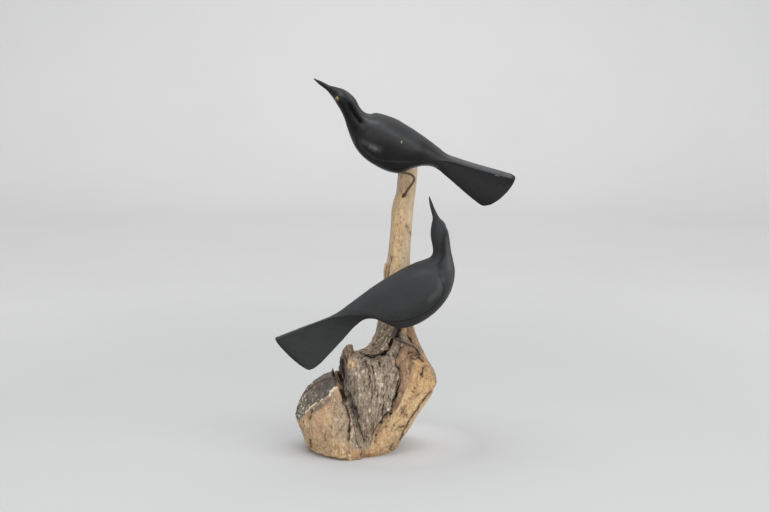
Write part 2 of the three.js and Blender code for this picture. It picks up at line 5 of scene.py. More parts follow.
import bmesh
import bpy
import numpy as np
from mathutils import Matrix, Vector


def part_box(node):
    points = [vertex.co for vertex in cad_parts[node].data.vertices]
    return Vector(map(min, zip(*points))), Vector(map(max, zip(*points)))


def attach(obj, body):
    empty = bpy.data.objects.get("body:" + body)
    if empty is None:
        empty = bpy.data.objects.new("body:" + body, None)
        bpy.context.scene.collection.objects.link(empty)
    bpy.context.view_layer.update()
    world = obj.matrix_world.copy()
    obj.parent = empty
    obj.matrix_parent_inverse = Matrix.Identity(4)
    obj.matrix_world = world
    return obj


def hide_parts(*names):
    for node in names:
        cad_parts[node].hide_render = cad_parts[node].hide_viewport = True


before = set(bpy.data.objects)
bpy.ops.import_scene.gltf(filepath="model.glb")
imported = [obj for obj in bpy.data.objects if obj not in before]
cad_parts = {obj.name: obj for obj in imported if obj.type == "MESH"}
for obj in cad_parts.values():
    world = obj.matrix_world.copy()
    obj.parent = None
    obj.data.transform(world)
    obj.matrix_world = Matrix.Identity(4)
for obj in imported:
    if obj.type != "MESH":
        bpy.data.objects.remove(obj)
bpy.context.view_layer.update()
MM = 0.001
EVEN = (1, 1, 1)
HASH_PRIMES = np.array([73856093, 19349663, 83492791])
HASH_SEED_PRIME = 2654435761
HASH_MIXES = ((13, 1274126177), (16, 668265263))
OCTAVE_SHIFT = 17.3

# Camera: a long lens two metres off, looking down by ten degrees
CAMERA_PLACE = (0.042, -1.96962, 0.62230)
CAMERA_TARGET = (0.042, 0.0, 0.275)
CAMERA_LENS = 67.83
VIEW_SLOPE = 0.17

# Soft lights: place and target in metres, size, power and colour
LIGHTS = {
    "ceiling": ((0.0, 0.4, 3.0), (0.0, 0.4, 0), (7, 6), 92, (0.97, 0.985, 1.0)),
    "top_strip": ((-0.1, -0.4, 2.2), (0.05, 0, 0.4), (1.5, 0.9), 24, (0.9, 0.95, 1.0)),
    "key_panel": ((1.3, -2.0, 2.2), (0.05, 0, 0.4), (1.3, 1.0), 15, (0.84, 0.9, 1.0)),
    "front_glow": ((-0.7, -2.4, 0.35), (0.03, 0, 0.4), (0.7, 0.5), 4, EVEN),
    "front_wall": ((0.0, -3.2, 0.9), (0.0, 0, 0.4), (6, 1.7), 36, (1.0, 0.99, 0.97)),
    "right_panel": ((2.4, -1.3, 0.9), (0.05, 0, 0.3), (1.2, 1.2), 17, EVEN),
    "backdrop_glow": ((0.0, 1.9, 1.7), (0.0, 3.1, 1.2), (1.2, 0.6), 7, EVEN),
}
WORLD_STRENGTH = 0.8

# Floor, in millimetres, which curves up behind into a backdrop
FLOOR_REACH = 9000
WALL_FOOT = 2200
WALL_CURVE = 900
WALL_TOP = 4000
CURVE_STEPS = 12

# Where the colours of a ramp lie along its pattern
WOOD_STOPS = (0.3, 0.5, 0.68)
WIDE_STOPS = (0.3, 0.5, 0.7)
SPECK_STOPS = (0.35, 0.6)
TWO_STOPS = (0.35, 0.65)
FLOOR_STOPS = (0.0, 0.12, 0.42, 0.62, 1.0)

# Colours as seen on a screen, from 0 to 255; each wood runs from dark to pale
WOODS = {
    "tan": ((140, 112, 84), (182, 155, 119), (208, 184, 148)),
    "ochre": ((148, 112, 74), (188, 154, 108), (212, 182, 136)),
    "grey": ((108, 96, 84), (152, 137, 119), (186, 172, 153)),
    "brown": ((100, 78, 60), (152, 124, 98), (188, 158, 130)),
    "slate": ((62, 59, 54), (100, 96, 87), (146, 140, 126)),
    "bleached_and_lit": ((188, 154, 114), (222, 192, 150), (238, 214, 178)),
    "ginger": ((176, 132, 92), (222, 186, 142)),
    "cream_and_lit_side": ((184, 168, 144), (226, 216, 198)),
}
PINKISH = (176, 140, 112)
UMBER = (120, 98, 80)
SHADOW = (72, 68, 68)
RUST = (142, 98, 62)
HAZE = (212, 196, 176)
SPECK = (112, 88, 66)
FISSURE = (66, 52, 42)
DARK_AND_CREVICE_SHADE = (34, 27, 21)
SATIN_BLACKS = ((8, 8, 8), (14, 14, 16))
MATT_BLACKS = ((20, 21, 22), (26, 27, 28))
DUST = (120, 118, 112)
HIGHLIGHT_AND_WEAR = (92, 92, 93)
CREASE_AND_HOLLOW_SHADE = (4, 4, 4)
BARE_WOOD = (150, 145, 135)
RUSTED_WIRE = ((52, 42, 34), (84, 66, 50), (112, 88, 64))
GREYED_WIRE = ((40, 36, 30), (62, 56, 46), (86, 78, 66))
BEAD_BROWN = (86, 52, 36)
PUPIL = (24, 20, 14)
IRIS = ((72, 60, 28), (110, 94, 50))
FLOOR_COLORS = ((166, 165, 164), (180, 179, 178), (184, 183, 183), (187, 187, 187), (224, 224, 224))
FLOOR_CLOUD = (150, 150, 150)
# Painted light on the floor round the base, which lifts its contact shadow
PAINTED_LIGHT_NEAR_BASE = (190, 189, 188)
PAINTED_LIGHT_CENTER = (0.065, 0.02, 0.0)

# Carved birds, in millimetres, with the same sections as the solids
BIRD_PLANE_Y = -48.0
KEEL_HALF_SHARE = 0.24
BODY_FULLNESS = 2.25
WING_EDGE = 7
WING_FOOT = 8
KEEL_START = 14
BELLY_LINE = 15
WING_STEP_ANGLE = 5.0
WING_STEP = 0.6
WING_RISE_POWER = 1.3
FULL_LIFT = 1.7
NECK_HOLLOW_ANGLE = 58.0
NECK_HOLLOW_SPREAD = 17.0
SECTIONS_PER_ROW = 12
# The tail's height and half width, as shares, at the four places named above
TAIL_PLACES = (WING_EDGE, WING_FOOT, KEEL_START, BELLY_LINE)
TAIL_HEIGHTS = (0.9, 0.84, -0.96, -1.0)
TAIL_WIDTHS = (1.0, 0.97, KEEL_HALF_SHARE, KEEL_HALF_SHARE)
# Stretches of a fine section, each from place to place with its number of points
FINE_STRETCHES = (
    (0, 5.4, 22), (5.4, WING_EDGE, 18), (WING_EDGE, 8.6, 14),
    (8.6, KEEL_START, 23), (KEEL_START, BELLY_LINE, 7),
)

# back x, back z, belly x, belly z, half width, shift, lean, tail share, wing angle, wing lift, hollow
UPPER_BIRD = [
    [-52.3, 520.5, -52.3, 520.5, 0.5, 14, 33, 0, 60, 0, 0],
    [-50.6, 520.2, -51.3, 518.9, 0.9, 13.4, 33, 0, 60, 0, 0],
    [-41, 516.5, -44.6, 512.6, 2.2, 11, 33, 0, 60, 0, 0],
    [-30.5, 511.7, -35.6, 506, 3.4, 7, 33, 0, 60, 0, 0],
    [-22, 509.8, -28.6, 498.6, 6.4, 2, 33, 0, 60, 0, 0],
    [-9.5, 506, -22, 489.5, 11.6, -3, 33, 0, 60, 0, 0],
    [2.5, 496, -16, 480, 14.2, -6, 32, 0, 60, 0, 0.9],
    [9.5, 484, -11.5, 470.5, 13.8, -7, 29, 0, 60, 0, 1.8],
    [15.5, 477.5, -7.5, 458, 14.8, -7, 25, 0, 62, 0, 2.2],
    [23, 475, -3, 444.5, 19, -6, 21, 0, 70, 0.2, 1.6],
    [30, 476, 3, 431.5, 25, -4.5, 18, 0, 120, 1.6, 0.3],
    [42, 473.5, 13, 418.5, 28.8, -2.5, 16, 0, 134, 1.7, 0],
    [56, 468.5, 27.5, 407.5, 30.5, -1, 15, 0, 132, 1.7, 0],
    [71, 460, 45.5, 398.5, 29.8, 0, 15, 0, 124, 1.7, 0],
    [86.5, 450, 63, 396, 27, 0, 15, 0, 110, 1.7, 0],
    [102, 439, 79.5, 402.5, 21.5, 0, 15, 0.05, 108, 1.7, 0],
    [115, 429, 95.5, 405.5, 16.8, 0, 15, 0.15, 100, 1.6, 0],
    [125.5, 421, 109, 403, 13.2, 0, 15, 0.4, 76, 1.4, 0],
    [139.5, 415.5, 124, 391.5, 10.8, 0, 15, 0.8, 50, 0.9, 0],
    [162, 408.5, 144, 374, 9.8, 0, 15, 1, 40, 0.4, 0],
    [185, 402.5, 163, 358, 9.3, 0, 15, 1, 40, 0, 0],
    [202.5, 397.5, 174, 351, 9, 0, 15, 1, 40, 0, 0],
    [212.5, 394.3, 180.5, 351.3, 8.4, 0, 15, 1, 40, 0, 0],
    [216.3, 388.8, 187, 353.8, 6.6, 0, 15, 1, 40, 0, 0],
    [211.5, 378.5, 197.5, 361.5, 3.6, 0, 15, 1, 40, 0, 0],
    [206, 370, 206, 370, 0.3, 0, 15, 1, 40, 0, 0],
]
LOWER_BIRD = [
    [102.4, 361.5, 102.4, 361.5, 0.5, 26, 86, 0, 60, 0, 0],
    [102.1, 359.6, 103.7, 359.7, 0.9, 25.4, 86, 0, 60, 0, 0],
    [102.5, 353.5, 106.2, 354, 1.9, 23.5, 86, 0, 60, 0, 0],
    [104.6, 343, 110.4, 344, 2.9, 20.5, 86, 0, 60, 0, 0],
    [107, 334, 115.6, 334.5, 4.6, 17.5, 86, 0, 60, 0, 0],
    [106.5, 327.3, 122.3, 326.5, 9.5, 15, 86, 0, 60, 0, 0],
    [104.5, 318, 127.3, 316.8, 13.2, 13, 78, 0, 60, 0, 0],
    [104.7, 307, 129.8, 306, 13.8, 12, 58, 0, 60, 0, 0.8],
    [106.8, 295.5, 131.3, 294.3, 13.4, 11.5, 40, 0, 60, 0, 1.8],
    [107.5, 286.5, 133.2, 284, 14, 11, 30, 0, 62, 0, 2.2],
    [103.7, 279.8, 135.2, 275, 17, 10, 20, 0, 64, 0, 2],
    [95.5, 276.3, 137, 265, 21.5, 8, 10, 0, 80, 0.3, 1.4],
    [84.5, 273, 136.6, 251.5, 26, 6, 0, 0, 96, 1.2, 0.4],
    [71.5, 267.5, 132.7, 236.3, 29.5, 4, -6, 0, 128, 1.7, 0],
    [56, 259.5, 123.3, 220.3, 31, 2, -10, 0, 140, 1.7, 0],
    [40, 249.8, 107.6, 204, 30.5, 1, -12, 0, 138, 1.7, 0],
    [23.5, 239, 84.5, 190, 28.5, 0, -12, 0, 126, 1.7, 0],
    [7, 226.7, 61, 185.8, 24.5, 0, -12, 0, 114, 1.7, 0],
    [-8, 215.5, 36.5, 197, 19, 0, -12, 0.08, 104, 1.6, 0],
    [-20.5, 206.2, 16.2, 197, 14.5, 0, -12, 0.3, 82, 1.4, 0],
    [-31.5, 200.3, 2.3, 187.4, 11.8, 0, -12, 0.65, 56, 1, 0],
    [-51.2, 192.2, -15, 168.2, 10.2, 0, -12, 0.95, 42, 0.5, 0],
    [-74.3, 183, -32.4, 149.5, 9.6, 0, -12, 1, 40, 0.1, 0],
    [-94, 174.8, -47.7, 134, 9.3, 0, -12, 1, 40, 0, 0],
    [-101.7, 171.5, -57, 128, 9, 0, -12, 1, 40, 0, 0],
    [-106.5, 167.5, -65, 128.6, 7.2, 0, -12, 1, 40, 0, 0],
    [-98.5, 156.5, -79.5, 138, 3.6, 0, -12, 1, 40, 0, 0],
    [-89, 146, -89, 146, 0.3, 0, -12, 1, 40, 0, 0],
]
EYES = {
    "upper_left_eye": UPPER_BIRD, "upper_right_eye": UPPER_BIRD,
    "lower_right_eye": LOWER_BIRD, "lower_left_eye": LOWER_BIRD,
}
EYE_RADIUS = 4.4
EYE_BULGE = 0.05
EYE_ROWS = 40
EYE_SIDES = 48
EYE_RIM = 0.55
EYE_RIM_RADIUS = 5.1
PUPIL_EDGE = 24

# Fine cuts that run along the wing, above its lower edge, and how deep cuts, hollows and marks go
WING_LINES = (5.9, 6.3, 6.65)
LINE_CUT = 0.3
FOOT_CUT = 0.7
CHIP_DEPTH = 0.15
KNIFE_MARKS = 0.16
BRUSH_MARKS = 0.05
HOLLOW_DEEPER = 1.25

# Painted highlights on the birds, some with rubbed wear: paths on the front plane, half width and strength
HIGHLIGHT_AND_WEAR_PLACES = {
    "upper": [
        ([[13.5, 437], [26.5, 431], [35, 427]], 3.8, 0.34), ([[23.5, 431.5], [30.5, 428]], 3, 0.95),
        ([[8, 441], [10.5, 430.5], [18.5, 422.5], [28, 415.5]], 1.2, 0.16),
        ([[28, 415], [41.5, 412], [58.5, 410.5], [81.5, 410]], 0.8, 0.16),
        ([[116, 413], [163, 386], [196.5, 372.5]], 22, 0.14),
        ([[129.5, 418], [169.5, 404], [209.5, 391.5]], 4, 0.4),
        ([[17.5, 466], [46.5, 453], [81.5, 434.5]], 11, 0.16),
        ([[-13, 511], [-2.5, 495.5], [12, 473]], 2.6, 0.22),
    ],
    "lower": [
        ([[126, 307.5], [129, 288.5], [130, 266.5]], 3.4, 0.34),
        ([[118.5, 250], [116, 235], [103.5, 222.5]], 4, 0.22),
        ([[132, 274.5], [134.5, 243], [127, 218]], 4.5, 0.3),
        ([[120.5, 334.5], [127.5, 321], [129, 307.5]], 3.6, 0.36),
    ],
}
# Painted shade in the neck hollows, in the same way
PAINTED_SHADE_PLACES = {
    "upper": [
        ([[-5, 488], [1, 478], [9.5, 465]], 4.6, 0.95), ([[-11.5, 499], [-5, 488.5]], 2.6, 0.45),
        ([[-10.5, 487], [-3, 469.5], [4, 457]], 5.5, 0.55),
    ],
    "lower": [
        ([[123.5, 313], [121.5, 299.5], [119.5, 283], [117, 268]], 4.6, 0.5),
    ],
}
# Bare chips in the paint, in the same way
PAINT_CHIPS = {
    "upper": [
        ([[65, 437.5], [64.5, 436.5]], 0.8, 1), ([[189.5, 392.5], [195, 391.5]], 0.6, 0.5),
    ],
    "lower": [],
}

# Wire legs, from inside the belly to inside the wood
WIRE_RADIUS = 1.6
WIRE_SIDES = 20
WIRE_STEPS = 10
WIRE_BUMP = 0.06
LEGS = {
    "upper_left_leg": [
        [55, -47, 411], [60, -46, 400.5], [66, -45, 396], [73, -43, 394.5], [79.5, -40, 391.5],
        [82, -36, 386.5], [79.5, -28, 379.5], [74.5, -18, 371], [69, -8, 361], [65.5, 0, 355],
    ],
    "upper_right_leg": [[57, -36, 412], [60, -31, 404], [62.5, -22, 401], [65, -9, 399], [66.5, 5, 397]],
    "lower_right_leg": [
        [61, -48, 200], [59.5, -48.5, 187], [56, -49.5, 177], [54, -50, 171], [61, -48.5, 167],
        [70, -46, 162.5], [79, -41, 157.5], [86, -34, 151], [90, -26, 142], [91, -16, 135], [91, -6, 129],
    ],
    "lower_left_leg": [[65, -40, 202], [66.5, -34, 193], [68, -25, 188], [69.5, -12, 185], [70.5, 0, 183]],
}
BEAD_CENTER = (69.0, -8.5, 361.0)
BEAD_RADIUS = 2.9

# Driftwood mesh: cell size, triangles, height of the flat sole, smoothing, thinning and the stem's start
VOXEL = 0.95
DRIFTWOOD_TRIANGLES = 190000
SOLE = 0.6
RELAX_ROUNDS = 14
RELAX_STEPS = (0.5, -0.52)
FRONT_SPARED = 0.8
THIN_PULL = 0.4
STEM_STARTS = (182, 205)
# The plate fans out from foot to top: its middle line, half width and furrows
PLATE_TOP = 143
PLATE_MIDDLES = (20, 26)
PLATE_HALVES = (8, 37)
FURROW = 3.6
CRACK_REACH = 4.0
# Thin slivers, three that stand up and one that fills the foot of the left crack: two ends and a thickness
SLIVERS = [
    ([43.5, 4.0, 266], [41.0, 2.0, 242], 1.3),
    ([-18.5, -14.0, 138], [-15.5, -20.0, 112], 2.2),
    ([-20.5, -12.0, 130], [-16.0, -18.0, 118], 1.8),
    ([-5.5, -54.6, 42], [-5.5, -55.6, -16], 3.4),
]

# Marks on the driftwood's front as x and z on the upright plane FRONT_Y, pressed back onto the wood
FRONT_Y = -45.0
FACET = [
    [-91, 48], [-90, 82], [-74, 106], [-57, 120], [-33, 130], [-27, 123], [-22, 108], [-23, 99], [-32, 93],
    [-41, 84.5], [-50, 77], [-58.5, 71.5], [-65, 64], [-70, 58], [-77, 52],
]
PLATE = [
    [-17, 141], [-16, 122], [-13, 103], [-11, 85], [-7, 71], [-3, 54], [0, 37], [-3, 24], [-1, 15],
    [11, 12], [22, 15], [26, 24], [26, 31], [29, 42], [34, 49], [41, 61], [47, 65], [51, 68], [54, 79],
    [56, 92], [59, 105], [63, 118], [62, 125], [58, 132], [58, 139], [62, 150], [67, 158], [70, 169],
    [66, 179], [59, 171], [51, 160], [44, 153], [36, 144], [24, 143], [13, 147], [6, 144], [-5, 139],
]
TAN_STRIP = [
    [78, 141], [86, 140], [96, 139], [104, 127], [110, 112], [114, 102], [159, 82], [161, -47], [22, -47],
    [23, 15], [26, 31], [30, 42], [37, 49], [43, 58], [48, 62], [54, 69], [59, 77], [65, 82], [70, 94],
    [75, 108], [78, 125],
]
BARK_BAND = [
    [60, 150], [66, 158], [69, 169], [73, 189], [82, 189], [88, 169], [95, 154], [96, 139], [86, 140],
    [78, 141], [78, 125], [75, 108], [70, 94], [64, 79], [58, 68], [51, 61], [47, 65], [52, 77], [56, 89],
    [59, 105], [64, 116], [63, 123], [58, 130], [58, 139],
]
EDGE_BAND = [
    [77, 189], [92, 154], [103, 130], [110, 111], [113, 105], [118, 105], [114, 115], [101, 144], [88, 175],
    [82, 189],
]
ROOT = [
    [8, 148], [-6, 160], [10, 175], [28, 196], [36, 214], [69, 208], [66, 186], [62, 180], [57, 172],
    [52, 164], [46, 156], [39, 149], [31, 143], [22, 143], [15, 147],
]
RIDGE = [
    [-14, 85], [-10, 68], [-6, 51], [-8, 24], [-6, 12], [11, 11], [14, 22], [7, 39], [1, 57], [-4, 72],
    [-11, 85],
]
KNOB = [
    [-26, 122], [-26, 151], [-18, 164], [-2, 166], [8, 156], [9, 148], [3, 142], [-4, 138], [-9, 128],
    [-14, 118],
]
LOBE_FRONT = [
    [-80, 50], [-65, 63], [-49, 77], [-31, 92], [-22, 97], [-17, 85], [-12, 72], [-8, 58], [-8, 20],
    [-8, -20], [-90, -20], [-90, 40],
]
# Shaded places, each a path with its half width and strength
SHADES = [
    ([[-11, 137], [-7, 121], [-6.5, 107], [-8, 95], [-6, 80], [-2, 70], [3, 60]], 6, 0.6),
    ([[-56, 67], [-48, 73], [-40, 79], [-34, 83]], 4.2, 0.65),
    ([[-18, 137], [-16, 124], [-14, 112]], 5, 0.9), ([[-44, 101], [-30, 112]], 11, 0.5),
]
# Browner and paler places on the tan wood, in the same way
BROWNED = [
    ([[49, 60], [41, 50], [35, 36], [32, 24]], 5, 0.55), ([[-12, 12], [-1, 8]], 6, 0.5),
    ([[71.5, 325], [73.5, 320]], 2.8, 0.8), ([[76, 315], [77, 311]], 2, 0.75),
]
# Paler places; the last is painted light where the wood curves under at the bottom left
PALER_AND_LIT_PLACES = [
    ([[100, 92], [84, 70], [70, 46], [60, 22], [46, 8]], 9, 0.6), ([[72, 88], [63, 68], [56, 50]], 6, 0.55),
    ([[-80, 26], [-64, 12], [-44, 3], [-24, -2]], 8, 0.75),
]
# Pale columns of bleached grain on the plate, in the same way
STREAKS = [
    ([[0, 125], [6, 113], [10, 101], [8, 86]], 3.6, 1), ([[29, 122], [34, 111], [39, 96]], 3.2, 1),
    ([[48, 103], [52, 92], [51, 82]], 3, 1), ([[2, 143], [6, 130]], 2.6, 1),
    ([[-11, 81], [-5.5, 63.5], [-3, 42.5], [-4, 22.5]], 1.7, 1),
]
# Painted light on the strip's lower right side, right of its long crack, where it faces down
PAINTED_LIGHT_EDGE = [
    [106, 94], [98, 84], [91, 74], [83, 62], [76, 49], [70, 37], [65, 25], [90, 0], [160, 0], [160, 104],
    [116, 104],
]
# Each crack is a path with its half width, depth and darkness; the darkness is mostly painted shade in and
# beside the crack
CRACKS = [
    ([[-30, 126], [-27, 119], [-24, 115.5], [-20, 109], [-17.5, 103], [-16, 96.5], [-14.8, 89.5],
      [-13.4, 82]], 1.1, 1.9, 1),
    ([[-13.5, 82], [-9.5, 68], [-6, 53.5], [-6, 39.5], [-8.5, 25]], 0.9, 2.2, 0.9),
    ([[-17.5, 137], [-16.2, 127], [-14.8, 114.5]], 3.8, 2.4, 1),
    ([[-12.5, 144], [-10, 136]], 0.8, 1.2, 0.7),
    ([[-18, 118], [-16.5, 107], [-15, 96], [-13.5, 88], [-12.5, 81]], 1.9, 2.6, 1),
    ([[-9.5, 93.5], [-4.5, 81], [0, 69.5], [4, 59.5]], 4, 1.6, 0.45),
    ([[-1.5, 75], [3.5, 56.5], [8, 39.5], [14.5, 22.5]], 0.75, 1.2, 0.75),
    ([[63, 183.5], [59.5, 178], [57.5, 173.5]], 3.4, 3.6, 1),
    ([[56.5, 172.5], [52, 165.5], [49.5, 158.5]], 1.5, 3, 1),
    ([[49.5, 159.5], [46, 154], [40.5, 149]], 0.9, 2, 1), ([[42, 149], [37.5, 147.5]], 1.1, 2, 1),
    ([[38.5, 147], [31, 144.5], [23.5, 143.5], [16.5, 145.5], [10, 149]], 1.25, 2.4, 1),
    ([[67, 159.5], [61, 148.5], [57.5, 138.5], [57.5, 131.5]], 0.7, 1.4, 0.7),
    ([[57.5, 132.5], [61, 126], [64, 120.5], [64, 114.5], [61, 106.5]], 1.3, 2.2, 1),
    ([[62, 107.5], [60, 100.5], [59, 95]], 1.7, 2.2, 1),
    ([[59, 95], [57, 86.5], [53.5, 76.5], [51, 68], [49, 63]], 1.1, 2.2, 0.95),
    ([[51, 63.5], [46, 64.5], [42, 58]], 1.2, 2, 1), ([[42.5, 59.5], [39, 55], [36, 49]], 1.1, 2, 0.95),
    ([[33, 46.5], [29, 41], [26, 32.5]], 0.9, 1.6, 0.75),
    ([[97.5, 130], [94.5, 124], [92.5, 119]], 0.75, 1.2, 0.9), ([[92, 119], [93.5, 116]], 1.1, 1.2, 0.9),
    ([[73.5, 175], [75.5, 169.5], [79.5, 162.5]], 0.8, 1.2, 0.95),
    ([[15.5, 137.5], [19.5, 123], [22, 110.5], [21, 99]], 0.55, 0.9, 0.7),
    ([[25, 133], [27.5, 119], [30.5, 105], [28.5, 90.5]], 0.55, 0.9, 0.75),
    ([[39.5, 99], [41.5, 86.5], [40, 73.5], [38.5, 59.5]], 0.5, 0.9, 0.6),
    ([[32.5, 138.5], [36, 129]], 0.65, 0.9, 0.75), ([[11, 114.5], [14, 102], [16.5, 92]], 0.5, 0.7, 0.6),
    ([[47, 110.5], [45.5, 93.5], [47.5, 79.5]], 0.45, 0.7, 0.55),
    ([[65, 71], [67, 67], [66, 62]], 0.4, 0.7, 0.7), ([[70, 69], [68, 64], [72, 58]], 0.4, 0.7, 0.7),
    ([[64, 43], [69, 44]], 0.6, 0.8, 0.8), ([[84, 86], [89, 92]], 0.5, 0.8, 0.6),
    ([[51, 12], [54, 19]], 0.7, 0.8, 0.7), ([[78, 144], [82, 146], [84, 143]], 0.6, 0.9, 0.7),
    ([[74, 147], [77, 151], [80, 150]], 0.6, 0.9, 0.7), ([[-40, 34], [-39, 24]], 0.4, 0.6, 0.6),
    ([[-26, 79], [-27, 68], [-26, 57]], 0.4, 0.6, 0.5),
    ([[-57.5, 68], [-59, 61], [-60, 55]], 0.9, 0.9, 0.8), ([[-61, 25], [-59, 15]], 0.9, 1, 0.75),
    ([[-73, 88], [-63, 98], [-52, 105], [-39, 111], [-30, 113]], 0.7, 1, 0.6),
    ([[106, 94], [98, 84], [91, 74], [83, 62], [76, 49], [70, 37], [65, 25]], 0.75, 1.2, 0.85),
    ([[-24, 118], [-19, 103], [-14.5, 88]], 3.4, 0.5, 0.5), ([[9.5, 15], [10.5, 9], [9, 3]], 0.7, 0.9, 0.8),
    ([[75.5, 150], [78, 142], [83.5, 139.5], [89, 141], [96, 137.5]], 0.7, 1, 0.75),
    ([[78, 140], [79, 130], [77, 119]], 0.6, 0.9, 0.6),
    ([[51.6, 281], [51.2, 275.5], [48.7, 268.6], [46.8, 254.8]], 0.35, 1, 0.65),
    ([[49.3, 283.8], [50.3, 282], [53.3, 281.2]], 0.3, 0.6, 0.5),
    ([[44.4, 270], [43.2, 259.7], [43.5, 252]], 0.35, 0.8, 0.6),
    ([[-16, 152], [-14, 142], [-17, 134]], 0.7, 1.2, 0.6),
    ([[-9, 156], [-7, 146], [-10, 138]], 0.6, 1, 0.55), ([[-2, 157], [0, 149], [-4, 143]], 0.6, 1, 0.5),
    ([[-12, 126], [-11, 112], [-13, 100]], 1.6, 1, 0.4),
]
# Ridges of the stem's root run up and to the right, each with its half width and depth
ROOT_LINES = [
    ([[14, 152], [24, 160], [36, 172], [46, 186], [52, 200]], 0.7, 1.5),
    ([[22, 150], [33, 158], [42, 168], [52, 182]], 0.9, 1.9),
    ([[30, 149], [41, 158], [50, 170], [58, 184]], 0.7, 1.5),
    ([[12, 160], [24, 170], [34, 183], [42, 198]], 0.6, 1.2), ([[36, 149], [44, 157], [51, 167]], 0.7, 1.3),
    ([[20, 168], [30, 180], [38, 194]], 0.5, 1), ([[46, 166], [54, 178], [60, 192]], 0.6, 1.1),
]
# Chipped pale edges, each a path with its half width
CHIPPED_EDGES = [
    ([[-66, 64], [-62, 68], [-59, 71.5]], 1.4), ([[-58, 72.5], [-52, 77.5]], 0.9),
    ([[-47, 80.5], [-42.5, 84.5]], 0.8), ([[-34.5, 88.5], [-31.5, 94], [-28, 98], [-24, 99]], 1.8),
]
# Cream flecks, orange patches and soft dark or brown spots, as x, z and half width
FLECKS = [
    (-7, 71, 1.4), (-3, 48, 1.6), (-3, 29, 1.4), (3, 120, 2.6), (8, 116, 2.6), (8, 99, 2.6), (10, 89, 2.2),
    (14, 122, 1.5), (29, 119, 2), (33, 112, 1.8), (38, 103, 2.8), (40, 92, 1.6), (52, 89, 2.4), (18, 84, 2),
    (21, 67, 2.2), (25, 61, 1.6), (19, 51, 2.2), (47, 69, 2.4), (36, 79, 1.4), (30, 75, 1.3), (50, 148, 2),
    (40, 154, 2.2), (33, 158, 1.6), (28, 153, 1.4), (44, 161, 1.6), (-6, 2, 2.2), (-25, 6, 1.6),
    (-15, 11, 1.4), (3, 17, 1.3),
]
PALE_PATCH = (-3.6, 132.6, 7.2)
ORANGE_PATCHES = [
    (73, 179, 5), (73, 130, 6), (78, 147, 4), (-72, 49, 3.5), (69, 150, 4), (-3, 5, 6.5), (-25, 5, 5),
]
DARK_SPOTS = [
    (-76, 64, 1.6), (-70, 51, 2.2), (88.5, 142, 2.4), (86, 146, 1.6), (84, 99, 2.4), (81, 94, 2.2),
    (56, 46, 2.6), (45, 44, 2.4), (47, 52, 2), (30, 32, 1.7), (67, 42, 1.4), (70, 43, 1.2), (69, 68, 1.5),
    (66, 64, 1.2), (72, 61, 1.2), (90, 141, 2.6), (93, 117, 1.3), (-4, 150, 2), (55, 14, 2), (51, 11, 1.6),
    (72, 323, 1.6), (76, 314, 1.2), (59, 340, 1.3), (64, 297, 1.2), (56, 308, 1.1), (68, 280, 1.3),
    (62, 269, 1.1), (48, 279, 1), (46, 266, 1), (63, 329, 1.2), (66, 310, 1.3),
]


def lerp(a, b, share):
    return a + (b - a) * share


def smooth(x, low, high):
    share = np.clip((x - low) / (high - low), 0, 1)
    return share * share * (3 - 2 * share)


def hump(x, half_width, power=2):
    return np.exp(-((x / half_width) ** power))


def length(vectors):
    return np.linalg.norm(vectors, axis=-1)


def noise(points, seed=0):
    """Smooth random values in -1 to 1 over space, the same on every run."""
    cell = np.floor(points).astype(np.int64)
    part = points - cell
    part = part * part * (3 - 2 * part)
    total = np.zeros(len(points))
    for corner in range(8):
        step = np.array([corner & 1, (corner >> 1) & 1, corner >> 2])
        a, b, c = ((cell + step) * HASH_PRIMES).T
        mixed = a ^ b ^ c ^ (seed * HASH_SEED_PRIME)
        for shift, factor in HASH_MIXES:
            mixed = (mixed ^ (mixed >> shift)) * factor & 0xFFFFFFFF
        value = (mixed >> 8) / 2.0 ** 23 - 1
        total += np.prod(np.where(step == 1, part, 1 - part), axis=1) * value
    return total


def fractal(points, octaves, seed):
    """Noise at several sizes, each half as large and half as strong as the one before."""
    total = np.zeros(len(points))
    for octave in range(octaves):
        total += noise(points * 2.0 ** octave + OCTAVE_SHIFT * octave, seed + octave) / 2.0 ** octave
    return total


def ridged(places, seed):
    """Sharp furrows, from three lists of places."""
    return 1 - np.abs(fractal(np.stack(places, -1), 3, seed))


# Meshes

def add(name, data):
    obj = bpy.data.objects.new(name, data)
    bpy.context.scene.collection.objects.link(obj)
    return obj


def new_object(name, points, faces):
    """A smooth-shaded mesh from points in millimetres."""
    mesh = bpy.data.meshes.new(name)
    mesh.from_pydata((np.asarray(points) * MM).tolist(), [], faces)
    mesh.validate()
    mesh.shade_smooth()
    mesh.update()
    return add(name, mesh)


def ringed(name, rings, start, end):
    """A closed skin over rings of points, with a point at each end."""
    count = len(rings) * len(rings[0])
    at = np.arange(count).reshape(len(rings), -1)
    beside = np.roll(at, -1, axis=1)
    faces = np.stack([at[:-1], beside[:-1], beside[1:], at[1:]], -1).reshape(-1, 4).tolist()
    for pole, this, other in ((count, beside[0], at[0]), (count + 1, at[-1], beside[-1])):
        faces += [(pole, a, b) for a, b in zip(this.tolist(), other.tolist())]
    obj = new_object(name, np.concatenate([*rings, [start], [end]]), faces)
    work = bmesh.new()
    work.from_mesh(obj.data)
    bmesh.ops.recalc_face_normals(work, faces=work.faces)
    work.to_mesh(obj.data)
    work.free()
    obj.data.update()
    return obj


def read(items, key, width=3, kind=float):
    flat = np.empty(width * len(items), kind)
    items.foreach_get(key, flat)
    return flat.reshape(-1, width)


def points_of(obj):
    return read(obj.data.vertices, "co") / MM


def normals_of(obj):
    return read(obj.data.vertex_normals, "vector")


def set_points(obj, points):
    obj.data.vertices.foreach_set("co", (points * MM).ravel())
    obj.data.update()


def paint(obj, name, values):
    """A number at each vertex, which the material reads by name."""
    attribute = obj.data.attributes.new(name, "FLOAT", "POINT")
    attribute.data.foreach_set("value", np.asarray(values, np.float32))


def circle(side, other, around):
    turn = 2 * np.pi * np.arange(around) / around
    return np.cos(turn)[:, None] * side + np.sin(turn)[:, None] * other


# Marks on the front

